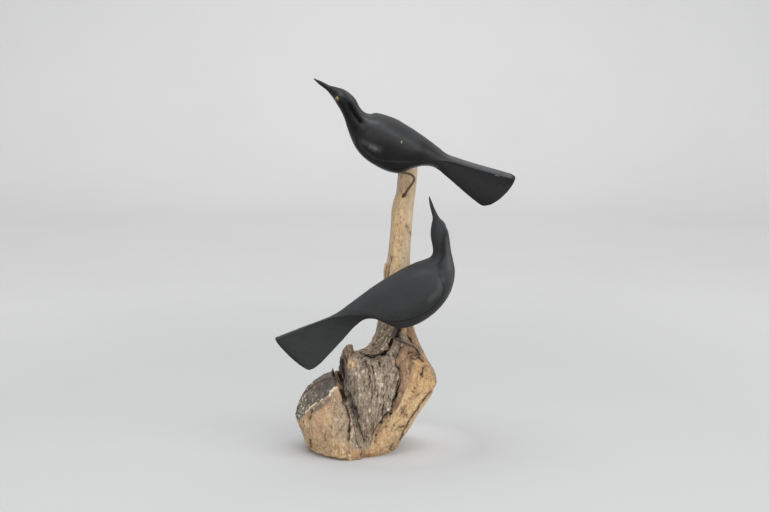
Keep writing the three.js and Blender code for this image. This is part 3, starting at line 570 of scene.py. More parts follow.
def on_front(points):
    """Where a straight line from the viewer through each point meets the plane of the front marks."""
    viewer = np.array(CAMERA_PLACE) / MM
    share = (FRONT_Y - viewer[1]) / (points[:, 1] - viewer[1])
    return viewer[None, [0, 2]] + (points[:, [0, 2]] - viewer[None, [0, 2]]) * share[:, None]


def distance_to_path(at, path):
    best = np.full(len(at), 1e9)
    path = np.asarray(path, float)
    for a, b in zip(path[:-1], path[1:]):
        run = b - a
        share = np.clip(((at - a) @ run) / (run @ run), 0, 1)
        best = np.minimum(best, length(at - a - share[:, None] * run))
    return best


def line_mask(at, path, half_width, power=2):
    return hump(distance_to_path(at, path), half_width, power)


def strongest(at, table):
    """The strongest of a table's soft lines; each row is a path, its half width and strength."""
    total = np.zeros(len(at))
    for path, half_width, strength in table:
        total = np.maximum(total, strength * line_mask(at, path, half_width))
    return total


def round_marks(at, table, low, high, stretch=1.0, ragged=0.0, by_size=False):
    """The strongest of a table's round marks; each row is x, z and half width."""
    total = np.zeros(len(at))
    for x, z, size in table:
        away = np.hypot(at[:, 0] - x, (at[:, 1] - z) / stretch) + ragged * (size if by_size else 1)
        total = np.maximum(total, 1 - smooth(away, size * low, size * high))
    return total


def inside(at, outline):
    """Signed distance to an outline, more than nought inside it."""
    outline = np.asarray(outline, float)
    hit = np.zeros(len(at), bool)
    x, z = at[:, 0], at[:, 1]
    for a, b in zip(outline, np.roll(outline, -1, axis=0)):
        crosses = (a[1] > z) != (b[1] > z)
        with np.errstate(divide="ignore", invalid="ignore"):
            hit ^= crosses & (x < (b[0] - a[0]) * (z - a[1]) / (b[1] - a[1]) + a[0])
    away = distance_to_path(at, np.concatenate([outline, outline[:1]]))
    return np.where(hit, away, -away)


def warped(at, points, size, seed):
    """Places on the front pushed about a little, so that drawn lines come out jagged."""
    shift = [noise(points / 6.0, seed + k) + 0.45 * noise(points / 2.2, seed + 2 + k) for k in (0, 1)]
    return at + size * np.stack(shift, -1)


# Birds

def spline(table, per_row):
    """Rows drawn smoothly between the rows of a table, spaced by how far the middle line runs."""
    table = np.asarray(table, float)
    middle = (table[:, 0:2] + table[:, 2:4]) / 2
    gaps = np.sqrt(np.maximum(length(np.diff(middle, axis=0)), 1.0))[:, None]
    slopes = np.diff(table, axis=0) / gaps
    inner = (slopes[:-1] * gaps[1:] + slopes[1:] * gaps[:-1]) / (gaps[:-1] + gaps[1:])
    tangents = np.concatenate([slopes[:1], inner, slopes[-1:]])
    u = np.arange(per_row)[:, None] / per_row
    parts = []
    for i, gap in enumerate(gaps):
        bend = (u**3 - 2 * u**2 + u) * tangents[i] + (u**3 - u**2) * tangents[i + 1]
        parts.append(lerp(table[i], table[i + 1], smooth(u, 0, 1)) + gap * bend)
    return np.concatenate([*parts, table[-1:]])


def half_section(place, half_height, half_width, tail, wing_angle, lift, hollow):
    """Points of the half section from back line to belly line, as height and half width."""
    on_wing = place <= WING_EDGE
    out = place / WING_EDGE
    foot = wing_angle + WING_STEP_ANGLE
    angle = np.select(
        [on_wing, place <= WING_FOOT],
        [wing_angle * out, wing_angle + WING_STEP_ANGLE * (place - WING_EDGE)],
        foot + (180 - foot) * (place - WING_FOOT) / (BELLY_LINE - WING_FOOT),
    )
    c = np.cos(np.radians(angle))
    s = np.sin(np.radians(angle))
    body_high = np.sign(c) * np.abs(c) ** (2 / BODY_FULLNESS)
    body_wide = np.abs(s) ** (2 / BODY_FULLNESS)
    keel = np.sqrt(1 - np.clip(place - KEEL_START, 0, 1) ** 2)
    tail_high = np.interp(place, TAIL_PLACES, TAIL_HEIGHTS)
    tail_high = np.where(on_wing, lerp(1, TAIL_HEIGHTS[0], out**2), tail_high)
    tail_wide = np.where(on_wing, out, np.interp(place, TAIL_PLACES, TAIL_WIDTHS)) * keel
    high = lerp(body_high, tail_high, tail) * half_height
    wide = lerp(body_wide, tail_wide, tail) * half_width
    step_down = 1 - smooth(place, WING_EDGE, WING_EDGE + WING_STEP)
    rise = lift * np.select([on_wing, place < WING_FOOT], [out ** WING_RISE_POWER, step_down], 0)
    dip = hollow * hump(angle - NECK_HOLLOW_ANGLE, NECK_HOLLOW_SPREAD)
    out_high = high / half_height**2
    out_wide = wide / half_width**2
    size = np.maximum(np.hypot(out_high, out_wide), 1e-9)
    return high + (rise - dip) * out_high / size, wide + (rise - dip) * out_wide / size


def section(row, places):
    """A bird's cross-section as points in millimetres; places below nought are on its far side."""
    back, belly = row[0:2], row[2:4]
    half_width, shift, lean, tail, wing_angle, lift, hollow = row[4:]
    middle = (back + belly) / 2
    half_height = max(length(back - belly) / 2, 0.01)
    up = (back - belly) / (2 * half_height)
    high, wide = half_section(
        np.abs(places), half_height, max(half_width, 0.05), np.clip(tail, 0, 1), wing_angle, lift, hollow
    )
    wide = wide * np.where(places < 0, -1, 1)
    turn = math.radians(lean)
    turned_high = high * math.cos(turn) - wide * math.sin(turn)
    turned_wide = high * math.sin(turn) + wide * math.cos(turn)
    low, top = turned_high.min(), turned_high.max()
    along = (turned_high - low) / (top - low) * 2 * half_height - half_height
    depth = BIRD_PLANE_Y + shift - turned_wide
    return np.stack([middle[0] + up[0] * along, depth, middle[1] + up[1] * along], -1)


def fine_places():
    half = [np.linspace(low, high, count, endpoint=False) for low, high, count in FINE_STRETCHES]
    half = np.concatenate([*half, [BELLY_LINE]])
    return np.concatenate([half, -half[-2:0:-1]])


def bird(name, table):
    places = fine_places()
    rows = spline(table, SECTIONS_PER_ROW)
    rows[:, 10] *= HOLLOW_DEEPER
    rings = [section(row, places) for row in rows[1:-1]]
    start, end = (section(row, places).mean(axis=0) for row in (rows[0], rows[-1]))
    obj = ringed(name, rings, start, end)
    raised = (np.clip(rows[1:-1, 9] / FULL_LIFT, 0, 1) ** 2)[:, None]
    beside = np.abs(places)[None, :]
    foot = hump(beside - WING_FOOT, 0.3)
    lines = sum(hump(beside - line, 0.13) for line in WING_LINES)
    for cut, values in (("foot", foot), ("lines", lines)):
        paint(obj, cut, np.append((raised * values).ravel(), [0, 0]))
    return obj


def carve_bird(obj, title, eyes):
    """Knife marks and brush strokes under the paint, and a low rim round each eye."""
    points, normals = points_of(obj), normals_of(obj)
    foot, lines = (read(obj.data.attributes[cut].data, "value", 1)[:, 0] for cut in ("foot", "lines"))
    height = KNIFE_MARKS * fractal(points / 9, 2, 5)
    height += BRUSH_MARKS * fractal(points * [0.1, 0.5, 0.5], 2, 9)
    height -= FOOT_CUT * foot
    height -= LINE_CUT * lines * smooth(noise(points / [14, 14, 5], 15), -0.3, 0.4)
    for center in eyes:
        height += EYE_RIM * hump(length(points - center) - EYE_RIM_RADIUS, 1.0)
    seen = smooth(-normals[:, 1], 0, 0.3)
    at = on_front(points)
    # painted highlights with some rubbed wear, painted shade in the neck hollows, and bare chips in the
    # paint
    highlight_and_wear, painted_shade, chipped = (
        strongest(at, table[title]) * seen for table in (HIGHLIGHT_AND_WEAR_PLACES, PAINTED_SHADE_PLACES, PAINT_CHIPS)
    )
    chips = smooth(chipped + 0.2 * noise(points / 1.3, 31), 0.25, 0.6)
    paint(obj, "chip", chips)
    paint(obj, "highlight_and_wear", highlight_and_wear * np.clip(1 + 0.35 * noise(points / 3, 57), 0, 1))
    paint(obj, "hollow", painted_shade)
    set_points(obj, points + normals * (height - CHIP_DEPTH * chips)[:, None])


# Glass eyes

def eye(name, center, outward):
    """A glass ball whose iris and pupil are painted by the angle from where it looks."""
    out = outward / length(outward)
    side = np.cross(out, [0, 0, 1])
    side /= length(side)
    rim = circle(side, np.cross(side, out), EYE_SIDES)
    rings = []
    for tilt in np.pi * np.arange(1, EYE_ROWS) / EYE_ROWS:
        radius = EYE_RADIUS * (1 + EYE_BULGE * hump(tilt, 0.7))
        rings.append(radius * (np.cos(tilt) * out + np.sin(tilt) * rim) + center)
    obj = ringed(name, rings, center + out * EYE_RADIUS * (1 + EYE_BULGE), center - out * EYE_RADIUS)
    toward = (points_of(obj) - center) @ out / EYE_RADIUS
    paint(obj, "gaze", np.degrees(np.arccos(np.clip(toward, -1, 1))))
    return obj


# Wire legs

def between(a, b, low, high, t):
    return (high - t) / (high - low) * a + (t - low) / (high - low) * b


def smooth_path(points):
    """A centripetal curve through the points."""
    p = np.asarray(points, float)
    p = np.concatenate([[2 * p[0] - p[1]], p, [2 * p[-1] - p[-2]]])
    knots = np.concatenate([[0], np.cumsum(length(np.diff(p, axis=0)) ** 0.5)])
    out = []
    for i in range(1, len(p) - 2):
        for t in np.linspace(knots[i], knots[i + 1], WIRE_STEPS, endpoint=False):
            a, b, c = (between(p[k], p[k + 1], knots[k], knots[k + 1], t) for k in (i - 1, i, i + 1))
            d = between(a, b, knots[i - 1], knots[i + 1], t)
            e = between(b, c, knots[i], knots[i + 2], t)
            out.append(between(d, e, knots[i], knots[i + 1], t))
    out.append(p[-2])
    return np.array(out)


def wire(name, path, bead):
    line = smooth_path(path)
    tangent = np.gradient(line, axis=0)
    tangent /= length(tangent)[:, None]
    side = np.cross(tangent[0], [0.3, 1.0, 0.2])
    rings = []
    for at, along in zip(line, tangent):
        side = side - along * (side @ along)
        side /= length(side)
        reach = (length(at - np.array(BEAD_CENTER)) / BEAD_RADIUS) ** 2
        swollen = BEAD_RADIUS * math.sqrt(max(0.0, 1 - reach)) if bead else 0.0
        rings.append(at + max(WIRE_RADIUS, swollen) * circle(side, np.cross(along, side), WIRE_SIDES))
    obj = ringed(name, rings, line[0], line[-1])
    points = points_of(obj)
    bump = WIRE_BUMP * fractal(points / 1.6, 2, 41) - WIRE_BUMP / 2
    paint(obj, "bead", bead * (length(points - np.array(BEAD_CENTER)) < BEAD_RADIUS * 1.5))
    set_points(obj, points + normals_of(obj) * bump[:, None])
    return obj


# Driftwood

def relax(points, edges):
    """Evens out a mesh without shrinking it, by turns of a pull together and a push apart."""
    count = len(points)
    degree = np.bincount(edges.ravel(), minlength=count).astype(float)
    for _ in range(RELAX_ROUNDS):
        for step in RELAX_STEPS:
            total = np.zeros_like(points)
            for axis in range(3):
                total[:, axis] = np.bincount(edges[:, 0], points[edges[:, 1], axis], count)
                total[:, axis] += np.bincount(edges[:, 1], points[edges[:, 0], axis], count)
            points = points + step * (total / degree[:, None] - points)
    return points


def add_sliver(work, low, high, thick):
    a, b = Vector(low) * MM, Vector(high) * MM
    turn = (b - a).to_track_quat("Z", "Y").to_matrix()
    for vertex in bmesh.ops.create_icosphere(work, subdivisions=2, radius=1.0)["verts"]:
        x, y, z = vertex.co
        shaped = Vector((x * thick * MM, y * 1.8 * thick * MM, z * (b - a).length / 2))
        vertex.co = (a + b) / 2 + turn @ shaped


def keep_modified(obj):
    """Puts the mesh that the object's modifiers make in place of its own."""
    depsgraph = bpy.context.evaluated_depsgraph_get()
    mesh = bpy.data.meshes.new_from_object(obj.evaluated_get(depsgraph))
    obj.modifiers.clear()
    obj.data = mesh
    mesh.name = obj.name


def driftwood():
    work = bmesh.new()
    work.from_mesh(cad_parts["driftwood_base"].data)
    bmesh.ops.remove_doubles(work, verts=work.verts, dist=1e-5)
    for low, high, thick in SLIVERS:
        add_sliver(work, low, high, thick)
    mesh = bpy.data.meshes.new("driftwood_weathered")
    work.to_mesh(mesh)
    work.free()
    obj = add("driftwood_weathered", mesh)
    remesh = obj.modifiers.new("remesh", "REMESH")
    remesh.mode = "VOXEL"
    remesh.voxel_size = VOXEL * MM
    remesh.use_smooth_shade = True
    keep_modified(obj)
    points = points_of(obj)
    eased = relax(points, read(obj.data.edges, "vertices", 2, np.int32))
    flat = points[:, 2] < SOLE
    eased[flat, 2] = points[flat, 2]
    set_points(obj, eased)
    weather(obj)
    thin_out(obj)
    return obj


def thin_out(obj):
    """Fewer triangles, mostly taken from the back and from flat places."""
    share = np.round(1 - FRONT_SPARED * smooth(-normals_of(obj)[:, 1], -0.5, 0.2), 1)
    group = obj.vertex_groups.new(name="thin")
    for value in np.unique(share):
        group.add(np.nonzero(share == value)[0].tolist(), float(value), "REPLACE")
    obj.data.calc_loop_triangles()
    thin = obj.modifiers.new("thin", "DECIMATE")
    thin.ratio = DRIFTWOOD_TRIANGLES / len(obj.data.loop_triangles)
    thin.vertex_group = "thin"
    thin.vertex_group_factor = THIN_PULL
    keep_modified(obj)
    obj.vertex_groups.clear()
    obj.data.shade_smooth()


def weather(obj):
    """Furrows, cracks and pits in the wood, and a number for each kind of surface."""
    points, normals = points_of(obj), normals_of(obj)
    plain = on_front(points)
    front = smooth(-normals[:, 1], -0.25, 0.25)
    toward = VIEW_SLOPE * normals[:, 2] - normals[:, 1]
    seen = smooth(toward, -0.1, 0.1)
    facing = smooth(toward, -0.5, -0.1)
    x, y, z = points.T
    at = warped(plain, points, 1.3, 101)
    loose = warped(plain, points, 3.0, 111)

    def area(outline, low=-1, high=1, where=at):
        return smooth(inside(where, outline), low, high) * front

    def blots(size, seed, low, high):
        return smooth(noise(points / size, seed), low, high)

    stem = smooth(z, *STEM_STARTS)
    root = area(ROOT)
    knob = area(KNOB, -2, 1, loose) * (1 - root)
    plate = area(PLATE) * (1 - root) * (1 - knob)
    facet = area(FACET, -0.8)
    side = area(EDGE_BAND)
    band = area(BARK_BAND, -0.8, 0.8) * (1 - side)
    strip = area(TAN_STRIP, -0.8, 0.8) * (1 - side) * (1 - band)
    lobe = area(LOBE_FRONT, -1.5, 2, loose)
    ridge = area(RIDGE, -1, 1.5)
    hidden = (1 - front) * (1 - stem)
    rough_bark = np.clip(plate + root + band + knob + 0.8 * hidden, 0, 1)
    browned = strongest(at, BROWNED) * facing * (1 - plate)
    bleached_and_lit = strongest(at, PALER_AND_LIT_PLACES) * facing * np.clip(strip + lobe, 0, 1)
    painted_light_edge = area(PAINTED_LIGHT_EDGE, 0, 1.5)

    # grain, as furrows that follow the wood
    middle = lerp(*PLATE_MIDDLES, np.clip(z / PLATE_TOP, 0, 1))
    half = lerp(*PLATE_HALVES, np.clip((z - 10) / 120, 0, 1))
    bend = 3.0 * noise(points / [16, 16, 26], 10) + 1.0 * noise(points / [6, 6, 9], 12)
    fan = (x - middle) / half * 34 + bend
    furrows = ridged([fan / FURROW, y / 9, z / 24], 11)
    fine_grain = fractal(np.stack([(x + bend) / 1.9, y / 1.9, z / 14], -1), 2, 13)
    across = x * 0.70 - z * 0.71 + 0.5 * bend
    along = x * 0.71 + z * 0.70
    diagonal = ridged([across / FURROW, y / 12, along / 22], 17)
    turned = ridged([x / 4 + bend, y / 4, z / 34], 29)
    crumbs = fractal(points / 3.6, 3, 21)

    height = 0.6 * fractal(points / 13, 3, 19) * (1 - stem)
    height += 0.3 * fractal(points / [9, 9, 30], 2, 23) * stem
    height += plate * 0.9 * (furrows - 0.75) + root * 1.3 * (diagonal - 0.75)
    height += (1.1 * hidden + 0.5 * band + 0.3 * side) * (turned - 0.7)
    height += 0.45 * rough_bark * crumbs + 0.18 * fine_grain + 0.3 * (lobe + strip) * crumbs
    height += 0.7 * knob * fractal(points / 5, 3, 33) + 0.35 * facet * fractal(points / 6, 3, 35)
    height += 0.7 * crumbs * (1 - smooth(z, 8, 30))
    height -= 0.9 * strip

    # cracks and dark lines; their darkness is mostly painted shade in the crevices
    dark_and_crevice_shade = np.zeros(len(points))
    near_cracks = np.zeros(len(points))
    broken = np.clip(1.05 + 0.5 * noise(points / 4.5, 45), 0.55, 1)
    swell = np.clip(1 + 0.5 * noise(points / 6, 48), 0.6, 1.5)
    for path, half_width, depth, darkness in CRACKS:
        wide = half_width * swell + 0.3
        height -= depth * line_mask(at, path, wide) * seen
        dark_and_crevice_shade = np.maximum(dark_and_crevice_shade, darkness * broken * line_mask(at, path, wide, 3) * seen)
        near_cracks = np.maximum(near_cracks, darkness * line_mask(at, path, CRACK_REACH) * seen)
    for path, half_width, depth in ROOT_LINES:
        height -= depth * line_mask(at, path, half_width + 0.4) * root
        dark_and_crevice_shade = np.maximum(dark_and_crevice_shade, 0.55 * broken * line_mask(at, path, half_width + 0.2) * root)
    slant = np.stack([(x * 0.86 - z * 0.5) / 1.7, y / 3, (x * 0.5 + z * 0.86) / 7], -1)
    strokes = np.maximum.reduce([
        smooth(noise(slant, 49), 0.45, 0.8) * strip, blots([1.6, 3, 8], 50, 0.6, 0.85) * lobe,
        blots([1.6, 2.5, 9], 51, 0.5, 0.85) * (plate + band + knob),
        0.5 * blots([1.5, 2, 10], 52, 0.6, 0.85) * stem,
    ])
    pits = blots(2.3, 47, 0.55, 0.85) * np.clip(strip + 0.5 * lobe + 0.35 * stem, 0, 1)
    height -= 0.5 * pits + 0.35 * strokes

    # pale chips, flecks and bleached columns
    cream_and_lit_side = 0.8 * facet * smooth(noise(points / 2.4, 63) + 0.012 * (-62 - plain[:, 0]), 0.35, 0.75)
    ragged = 0.7 * noise(points / 1.8, 53)
    for path, width in CHIPPED_EDGES:
        chipped = 1 - smooth(distance_to_path(at, path) + ragged, width * 0.6, width * 1.2)
        cream_and_lit_side = np.maximum(cream_and_lit_side, chipped * front)
    streak = strongest(at, STREAKS) * front
    cream_and_lit_side = np.maximum.reduce([
        cream_and_lit_side, 0.85 * round_marks(at, FLECKS, 0.3, 1.05, 1.5, 0.4 * ragged, True) * front,
        0.45 * streak * blots([2.4, 2.4, 6], 64, -0.35, 0.6),
        blots([2.2, 2.2, 3.6], 61, 0.35, 0.7) * (0.25 * plate + 0.25 * lobe + 0.85 * root),
        # painted light on the stem's right-facing side, as cream
        0.42 * stem * smooth(normals[:, 0], -0.1, 0.7) * front * (1 - browned),
    ])
    height += 0.3 * cream_and_lit_side
    spots = (1 - 0.5 * stem) * round_marks(at, DARK_SPOTS, 0.2, 1.2, 1 + 0.8 * stem, 0.4 * ragged) * front
    height -= 0.4 * spots
    orange = round_marks(loose, ORANGE_PATCHES, 0.3, 1.1) * front
    pale = round_marks(at, [PALE_PATCH], 0.35, 1.1, 1.3, 1.1 * noise(points / 3.5, 55)) * front

    # colours
    # painted shade in the bottoms of furrows and pits, with dark spots and strokes of the wood's own
    furrow_dark = plate * smooth(0.62 - furrows, 0, 0.35) + 0.4 * root * smooth(0.6 - diagonal, 0, 0.35)
    furrow_dark += (0.5 * hidden + 0.6 * band + 0.4 * side) * smooth(0.6 - turned, 0, 0.35)
    dark_and_crevice_shade = np.maximum(dark_and_crevice_shade, 0.75 * spots) + 0.45 * pits + 0.45 * furrow_dark * (1 - streak) + 0.4 * strokes
    dark_and_crevice_shade += 0.15 * band * (1 - smooth(z, 70, 120))
    dark_and_crevice_shade += 0.38 * plate * smooth(z, 40, 75) * blots([2.0, 2.0, 2.6], 65, 0.0, 0.6)
    beside = lobe * smooth(plain[:, 0] + 4 * noise(points / 9, 77), -40, -18) * smooth(z, 16, 40)
    grey = plate + 0.95 * root + 0.85 * knob + 0.45 * near_cracks + 0.75 * hidden + 0.7 * side
    grey = grey + band * (0.3 + 0.3 * smooth(z, 140, 165)) + 0.7 * beside + 0.6 * ridge
    # painted shadow of the upper bird on the top of the stem, and painted shade on the stem's left-facing
    # side, both as grey
    painted_bird_shadow = smooth(z + 8 * noise(points / 14, 75), 330, 380)
    painted_bird_shadow *= smooth(78 - x + 3 * noise(points / 5, 76), -3, 6)
    painted_left_shade = smooth(-normals[:, 0], 0.2, 0.9) * stem
    drift = smooth(fractal(points / 18, 3, 73), 0.1, 0.7) * stem * (1.2 - front)
    grey += 0.4 * painted_bird_shadow + 0.4 * painted_left_shade + 0.3 * drift
    bottom = 1 - smooth(z + 3.5 * noise(points / 5, 79), 2, 15)
    low_strip = 0.5 * strip * (1 - smooth(z, 25, 75)) * (1 - browned)
    bare = 1 - plate
    numbers = {
        "grey": np.clip(grey, 0, 1) * (1 - pale),
        "facet": facet,
        "dark_and_crevice_shade": dark_and_crevice_shade,
        "cream_and_lit_side": cream_and_lit_side,
        "ochre": strip + 0.55 * stem,
        "bark": (band + browned + 0.35 * knob + 0.4 * smooth(near_cracks, 0.3, 0.9) * bare) * (1 - pale),
        "rust": 0.6 * bottom * bare * (1 - bleached_and_lit) + 0.3 * near_cracks * bare * (1 - painted_light_edge),
        "orange": 0.7 * orange * (1 - pale),
        "shade": strongest(at, SHADES) * facing * (1 - pale),
        # paler wood, with painted light on the strip's lower right side and where the wood curves under at
        # the bottom left
        "stem": np.maximum.reduce([
            stem * (0.6 + 0.4 * smooth(z, 320, 250)), low_strip, bleached_and_lit, 0.95 * painted_light_edge, 0.85 * pale,
        ]),
    }
    for name, values in numbers.items():
        paint(obj, name, np.clip(values, 0, 1))
    moved = points + normals * height[:, None]
    flat = z < SOLE + 0.1
    moved[flat] = points[flat]
    moved[:, 2] = np.maximum(moved[:, 2], 0.0)
    set_points(obj, moved)


# Materials

def linear(color):
    """A colour seen on a screen, from 0 to 255, as a material colour."""
    return (*(((v / 255 + 0.055) / 1.055) ** 2.4 if v > 10 else v / 255 / 12.92 for v in color), 1)


class Shade:
    """A material built node by node, with colours as seen on a screen."""

    def __init__(self, name):
        self.material = bpy.data.materials.new(name)
        self.material.use_nodes = True
        self.tree = self.material.node_tree

    def plug(self, target, value):
        if isinstance(value, bpy.types.NodeSocket):
            self.tree.links.new(value, target)
        else:
            target.default_value = linear(value) if target.type == "RGBA" else value

    def surface(self, inputs):
        for key, value in inputs.items():
            self.plug(self.tree.nodes["Principled BSDF"].inputs[key], value)
        return self.material

    def node(self, kind, output, inputs, **settings):
        """One output of a new node."""
        made = self.tree.nodes.new("ShaderNode" + kind)
        for key, value in settings.items():
            setattr(made, key, value)
        for key, value in inputs.items():
            self.plug(made.inputs[key], value)
        return made.outputs[output]

    def number(self, name):
        return self.node("Attribute", "Fac", {}, attribute_name=name)

    def where(self, scale=EVEN):
        place = self.node("TexCoord", "Object", {})
        return self.node("Mapping", "Vector", {"Scale": scale, "Vector": place})

    def noise(self, scale, stretch=EVEN, detail=4.0, rough=0.55):
        inputs = {"Vector": self.where(stretch), "Scale": scale, "Detail": detail, "Roughness": rough}
        return self.node("TexNoise", "Fac", inputs)

    def ramp(self, value, stops, colors):
        made = self.tree.nodes.new("ShaderNodeValToRGB")
        elements = made.color_ramp.elements
        elements.remove(elements[1])
        for i, (at, color) in enumerate(zip(stops, colors)):
            stop = elements[0] if i == 0 else elements.new(at)
            stop.position = at
            stop.color = linear(color)
        self.plug(made.inputs["Fac"], value)
        return made.outputs["Color"]

    def level(self, value, low, high, out_low=0.0, out_high=1.0):
        limits = {"From Min": low, "From Max": high, "To Min": out_low, "To Max": out_high}
        return self.node("MapRange", "Result", {"Value": value, **limits})

    def math(self, operation, a, b=0.0):
        return self.node("Math", "Value", {0: a, 1: b}, operation=operation)

    def times(self, a, b):
        return self.math("MULTIPLY", a, b)

    def mix(self, share, a, b, blend="MIX"):
        return self.node("Mix", 2, {0: share, 6: a, 7: b}, data_type="RGBA", blend_type=blend)

    def bump(self, height, distance, strength):
        return self.node("Bump", "Normal", {"Height": height, "Distance": distance, "Strength": strength})


def wood_material():
    shade = Shade("weathered_driftwood")
    broad = shade.noise(34, (1, 1, 0.4), 3)
    patch = shade.noise(170, (1, 1, 0.6), 5, 0.62)
    grain = shade.noise(420, (1, 1, 0.08), 5, 0.6)
    speck = shade.noise(620, (1, 1, 0.6), 4, 0.6)
    lines = shade.noise(230, (1, 1, 0.1), 6, 0.6)
    fissure = shade.level(shade.math("ABSOLUTE", shade.math("SUBTRACT", lines, 0.5)), 0.0, 0.03, 1.0, 0.0)
    fissure = shade.times(fissure, shade.level(patch, 0.42, 0.58))
    grey = shade.number("grey")

    def wood(name, pattern=patch, stops=WOOD_STOPS):
        return shade.ramp(pattern, stops, WOODS[name])

    color = wood("tan")
    for share, layer in (
        (shade.number("ochre"), wood("ochre")),
        (shade.level(broad, 0.42, 0.62, 0.0, 0.5), PINKISH),
        (shade.number("stem"), wood("bleached_and_lit", stops=WIDE_STOPS)),
        (grey, wood("grey", grain, WIDE_STOPS)),
        (shade.number("orange"), wood("ginger", speck, SPECK_STOPS)),
        (shade.times(grey, shade.level(patch, 0.5, 0.68, 0.0, 0.55)), UMBER),
        (shade.number("bark"), wood("brown")),
        (shade.number("facet"), wood("slate", stops=WIDE_STOPS)),
        (shade.number("shade"), SHADOW),
        (shade.times(shade.number("rust"), shade.level(speck, 0.38, 0.58)), RUST),
    ):
        color = shade.mix(share, color, layer)
    color = shade.mix(shade.level(grain, 0.4, 0.7, 0.0, 0.5), color, HAZE, "MULTIPLY")
    color = shade.mix(shade.level(speck, 0.54, 0.67, 0.0, 0.65), color, SPECK)
    color = shade.mix(shade.number("cream_and_lit_side"), color, wood("cream_and_lit_side", speck, SPECK_STOPS))
    fissure = shade.times(fissure, shade.level(grey, 0.0, 1.0, 0.35, 0.75))
    color = shade.mix(fissure, color, FISSURE)
    color = shade.mix(shade.number("dark_and_crevice_shade"), color, DARK_AND_CREVICE_SHADE)
    relief = shade.math("ADD", grain, shade.times(speck, 0.9))
    relief = shade.math("SUBTRACT", relief, shade.times(fissure, 0.8))
    return shade.surface({
        "Base Color": color, "Roughness": shade.level(grain, 0.3, 0.7, 0.95, 0.8),
        "Specular IOR Level": 0.25, "Normal": shade.bump(relief, 0.001, 1.0),
    })


def paint_material(name, blacks, rough_low, rough_high, specular):
    shade = Shade(name)
    broad = shade.noise(34)
    strokes = shade.noise(240, (0.25, 1, 1))
    pores = shade.noise(900, detail=2)
    dust = shade.level(shade.noise(1400, detail=1), 0.68, 0.78)
    # painted shade in the crease at the wing's foot and in the neck hollows: near-black colour and weaker
    # reflection
    painted_shade = shade.math("ADD", shade.times(shade.number("foot"), 0.5), shade.number("hollow"))
    painted_shade = shade.level(painted_shade, 0, 1)
    color = shade.ramp(broad, TWO_STOPS, blacks)
    # painted highlights, with some rubbed wear, as lighter grey; dust and bare chips are the paint's own
    for share, layer in (
        (shade.times(dust, 0.25), DUST), (shade.number("highlight_and_wear"), HIGHLIGHT_AND_WEAR), (painted_shade, CREASE_AND_HOLLOW_SHADE),
        (shade.number("chip"), BARE_WOOD),
    ):
        color = shade.mix(share, color, layer)
    rough = shade.math("ADD", shade.times(broad, 0.6), shade.times(strokes, 0.4))
    relief = shade.math("ADD", strokes, shade.times(pores, 0.35))
    return shade.surface({
        "Base Color": color, "Roughness": shade.level(rough, 0.35, 0.65, rough_low, rough_high),
        "Specular IOR Level": shade.level(painted_shade, 0, 1, specular, 0.15 * specular),
        "Normal": shade.bump(relief, 0.00025, 0.6),
    })


def wire_material(name, colors):
    shade = Shade(name)
    blotch = shade.noise(260, detail=5, rough=0.65)
    fine = shade.noise(1500, detail=3)
    iron = shade.ramp(blotch, WIDE_STOPS, colors)
    return shade.surface({
        "Base Color": shade.mix(shade.number("bead"), iron, BEAD_BROWN),
        "Metallic": shade.level(blotch, 0.35, 0.6, 0.35, 0.0),
        "Roughness": shade.level(fine, 0.3, 0.7, 0.5, 0.8), "Normal": shade.bump(fine, 0.0002, 0.7),
    })


def eye_material():
    shade = Shade("yellow_glass_eye")
    gaze = shade.number("gaze")
    streaks = shade.noise(900, detail=3)
    iris = shade.ramp(streaks, TWO_STOPS, IRIS)
    ring = shade.times(shade.level(gaze, PUPIL_EDGE, PUPIL_EDGE + 3), shade.level(gaze, 78, 88, 1.0, 0.1))
    return shade.surface({
        "Base Color": shade.mix(ring, PUPIL, iris), "Roughness": shade.level(streaks, 0.3, 0.7, 0.08, 0.16),
        "Coat Weight": 0.25, "Normal": shade.bump(streaks, 0.00005, 0.3),
    })


def floor_material():
    shade = Shade("pale_floor")
    cloud = shade.noise(3, detail=3)
    away = shade.level(shade.node("VectorMath", "Value", {0: shade.where()}, operation="LENGTH"), 0.6, 5.6)
    painted_light_reach = shade.node("VectorMath", "Value", {0: shade.where(), 1: PAINTED_LIGHT_CENTER}, operation="DISTANCE")
    color = shade.ramp(away, FLOOR_STOPS, FLOOR_COLORS)
    color = shade.mix(shade.level(cloud, 0.4, 0.6, 0.0, 0.04), color, FLOOR_CLOUD)
    # painted light round the base lifts the contact shadow
    color = shade.mix(shade.level(painted_light_reach, 0.04, 0.115, 1.0, 0.0), color, PAINTED_LIGHT_NEAR_BASE)
    return shade.surface({
        "Base Color": color, "Roughness": shade.level(cloud, 0.4, 0.6, 0.85, 0.9),
        "Specular IOR Level": 0.2,
    })


# Build the part

def dress(obj, material, slot_name, *nodes):
    obj.data.materials.clear()
    obj.data.materials.append(material)
    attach(obj, "root")
    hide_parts(*nodes)


def middle_of(node):
    low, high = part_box(node)
    return (np.array(low) + np.array(high)) / 2 / MM


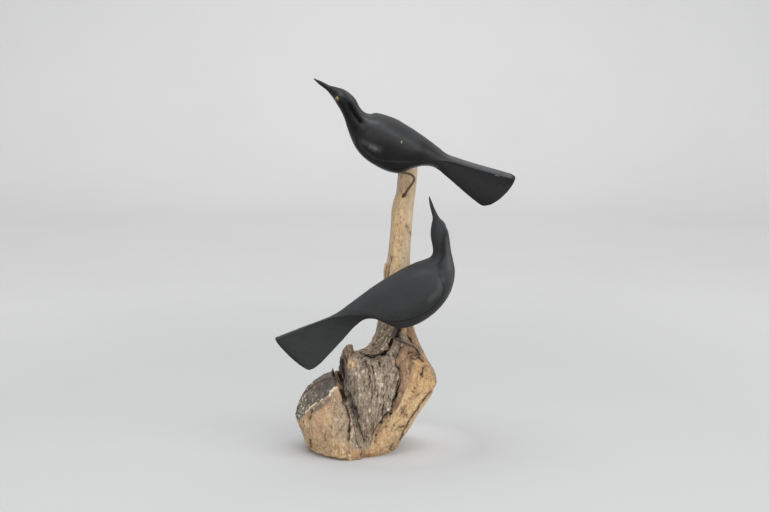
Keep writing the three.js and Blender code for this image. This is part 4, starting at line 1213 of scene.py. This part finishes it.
def build_birds():
    centers = {name: middle_of(name) for name in EYES}
    satin = paint_material("satin_black_paint", SATIN_BLACKS, 0.28, 0.42, 0.2)
    matt = paint_material("matt_black_paint", MATT_BLACKS, 0.5, 0.65, 0.35)
    for title, table, material, slot_name in (
        ("upper", UPPER_BIRD, satin, "satin_paint"), ("lower", LOWER_BIRD, matt, "matt_paint"),
    ):
        carved = bird(f"{title}_blackbird_carved", table)
        carve_bird(carved, title, [center for name, center in centers.items() if name.startswith(title)])
        dress(carved, material, slot_name, f"{title}_blackbird")
    glass = eye_material()
    for name, table in EYES.items():
        middles = np.array([section(row, fine_places()).mean(axis=0) for row in spline(table, 4)[1:-1]])
        nearest = middles[np.argmin(length(middles - centers[name]))]
        ball = eye(f"{name}_glass", centers[name], centers[name] - nearest)
        dress(ball, glass, "eye_glass", name)


def build_legs():
    rusted = wire_material("rusted_wire", RUSTED_WIRE)
    greyed = wire_material("greyed_wire", GREYED_WIRE)
    for name, path in LEGS.items():
        iron = rusted if name.startswith("upper") else greyed
        dress(wire(f"{name}_wire", path, name == "upper_left_leg"), iron, "wire", name)


build_birds()
build_legs()
dress(driftwood(), wood_material(), "driftwood", "driftwood_base")


# Floor, light and camera

def studio_floor():
    """A pale floor that curves up into a backdrop."""
    profile = [(-FLOOR_REACH, 0), (WALL_FOOT, 0)]
    for step in range(1, CURVE_STEPS + 1):
        turn = math.pi / 2 * step / CURVE_STEPS
        profile.append((WALL_FOOT + WALL_CURVE * math.sin(turn), WALL_CURVE - WALL_CURVE * math.cos(turn)))
    profile.append((WALL_FOOT + WALL_CURVE, WALL_TOP))
    points = [(side * FLOOR_REACH, y, z) for y, z in profile for side in (-1, 1)]
    faces = [(2 * i, 2 * i + 1, 2 * i + 3, 2 * i + 2) for i in range(len(profile) - 1)]
    obj = new_object("studio_floor", points, faces)
    obj.data.materials.append(floor_material())


def aim(obj, place, target):
    obj.location = place
    obj.rotation_euler = (Vector(target) - Vector(place)).to_track_quat("-Z", "Y").to_euler()


studio_floor()
for name, (place, target, size, power, color) in LIGHTS.items():
    light = bpy.data.lights.new(name, "AREA")
    light.shape = "RECTANGLE"
    light.size, light.size_y = size
    light.energy = power
    light.color = color
    aim(add(name, light), place, target)
world = bpy.data.worlds.new("studio")
world.use_nodes = True
world.node_tree.nodes["Background"].inputs["Color"].default_value = (1.0, 1.0, 1.0, 1)
world.node_tree.nodes["Background"].inputs["Strength"].default_value = WORLD_STRENGTH
bpy.context.scene.world = world
bpy.context.scene.view_settings.view_transform = "Standard"

camera = bpy.data.cameras.new("camera")
camera.lens = CAMERA_LENS
camera.sensor_width = 36
bpy.context.scene.camera = add("camera", camera)
aim(bpy.context.scene.camera, CAMERA_PLACE, CAMERA_TARGET)
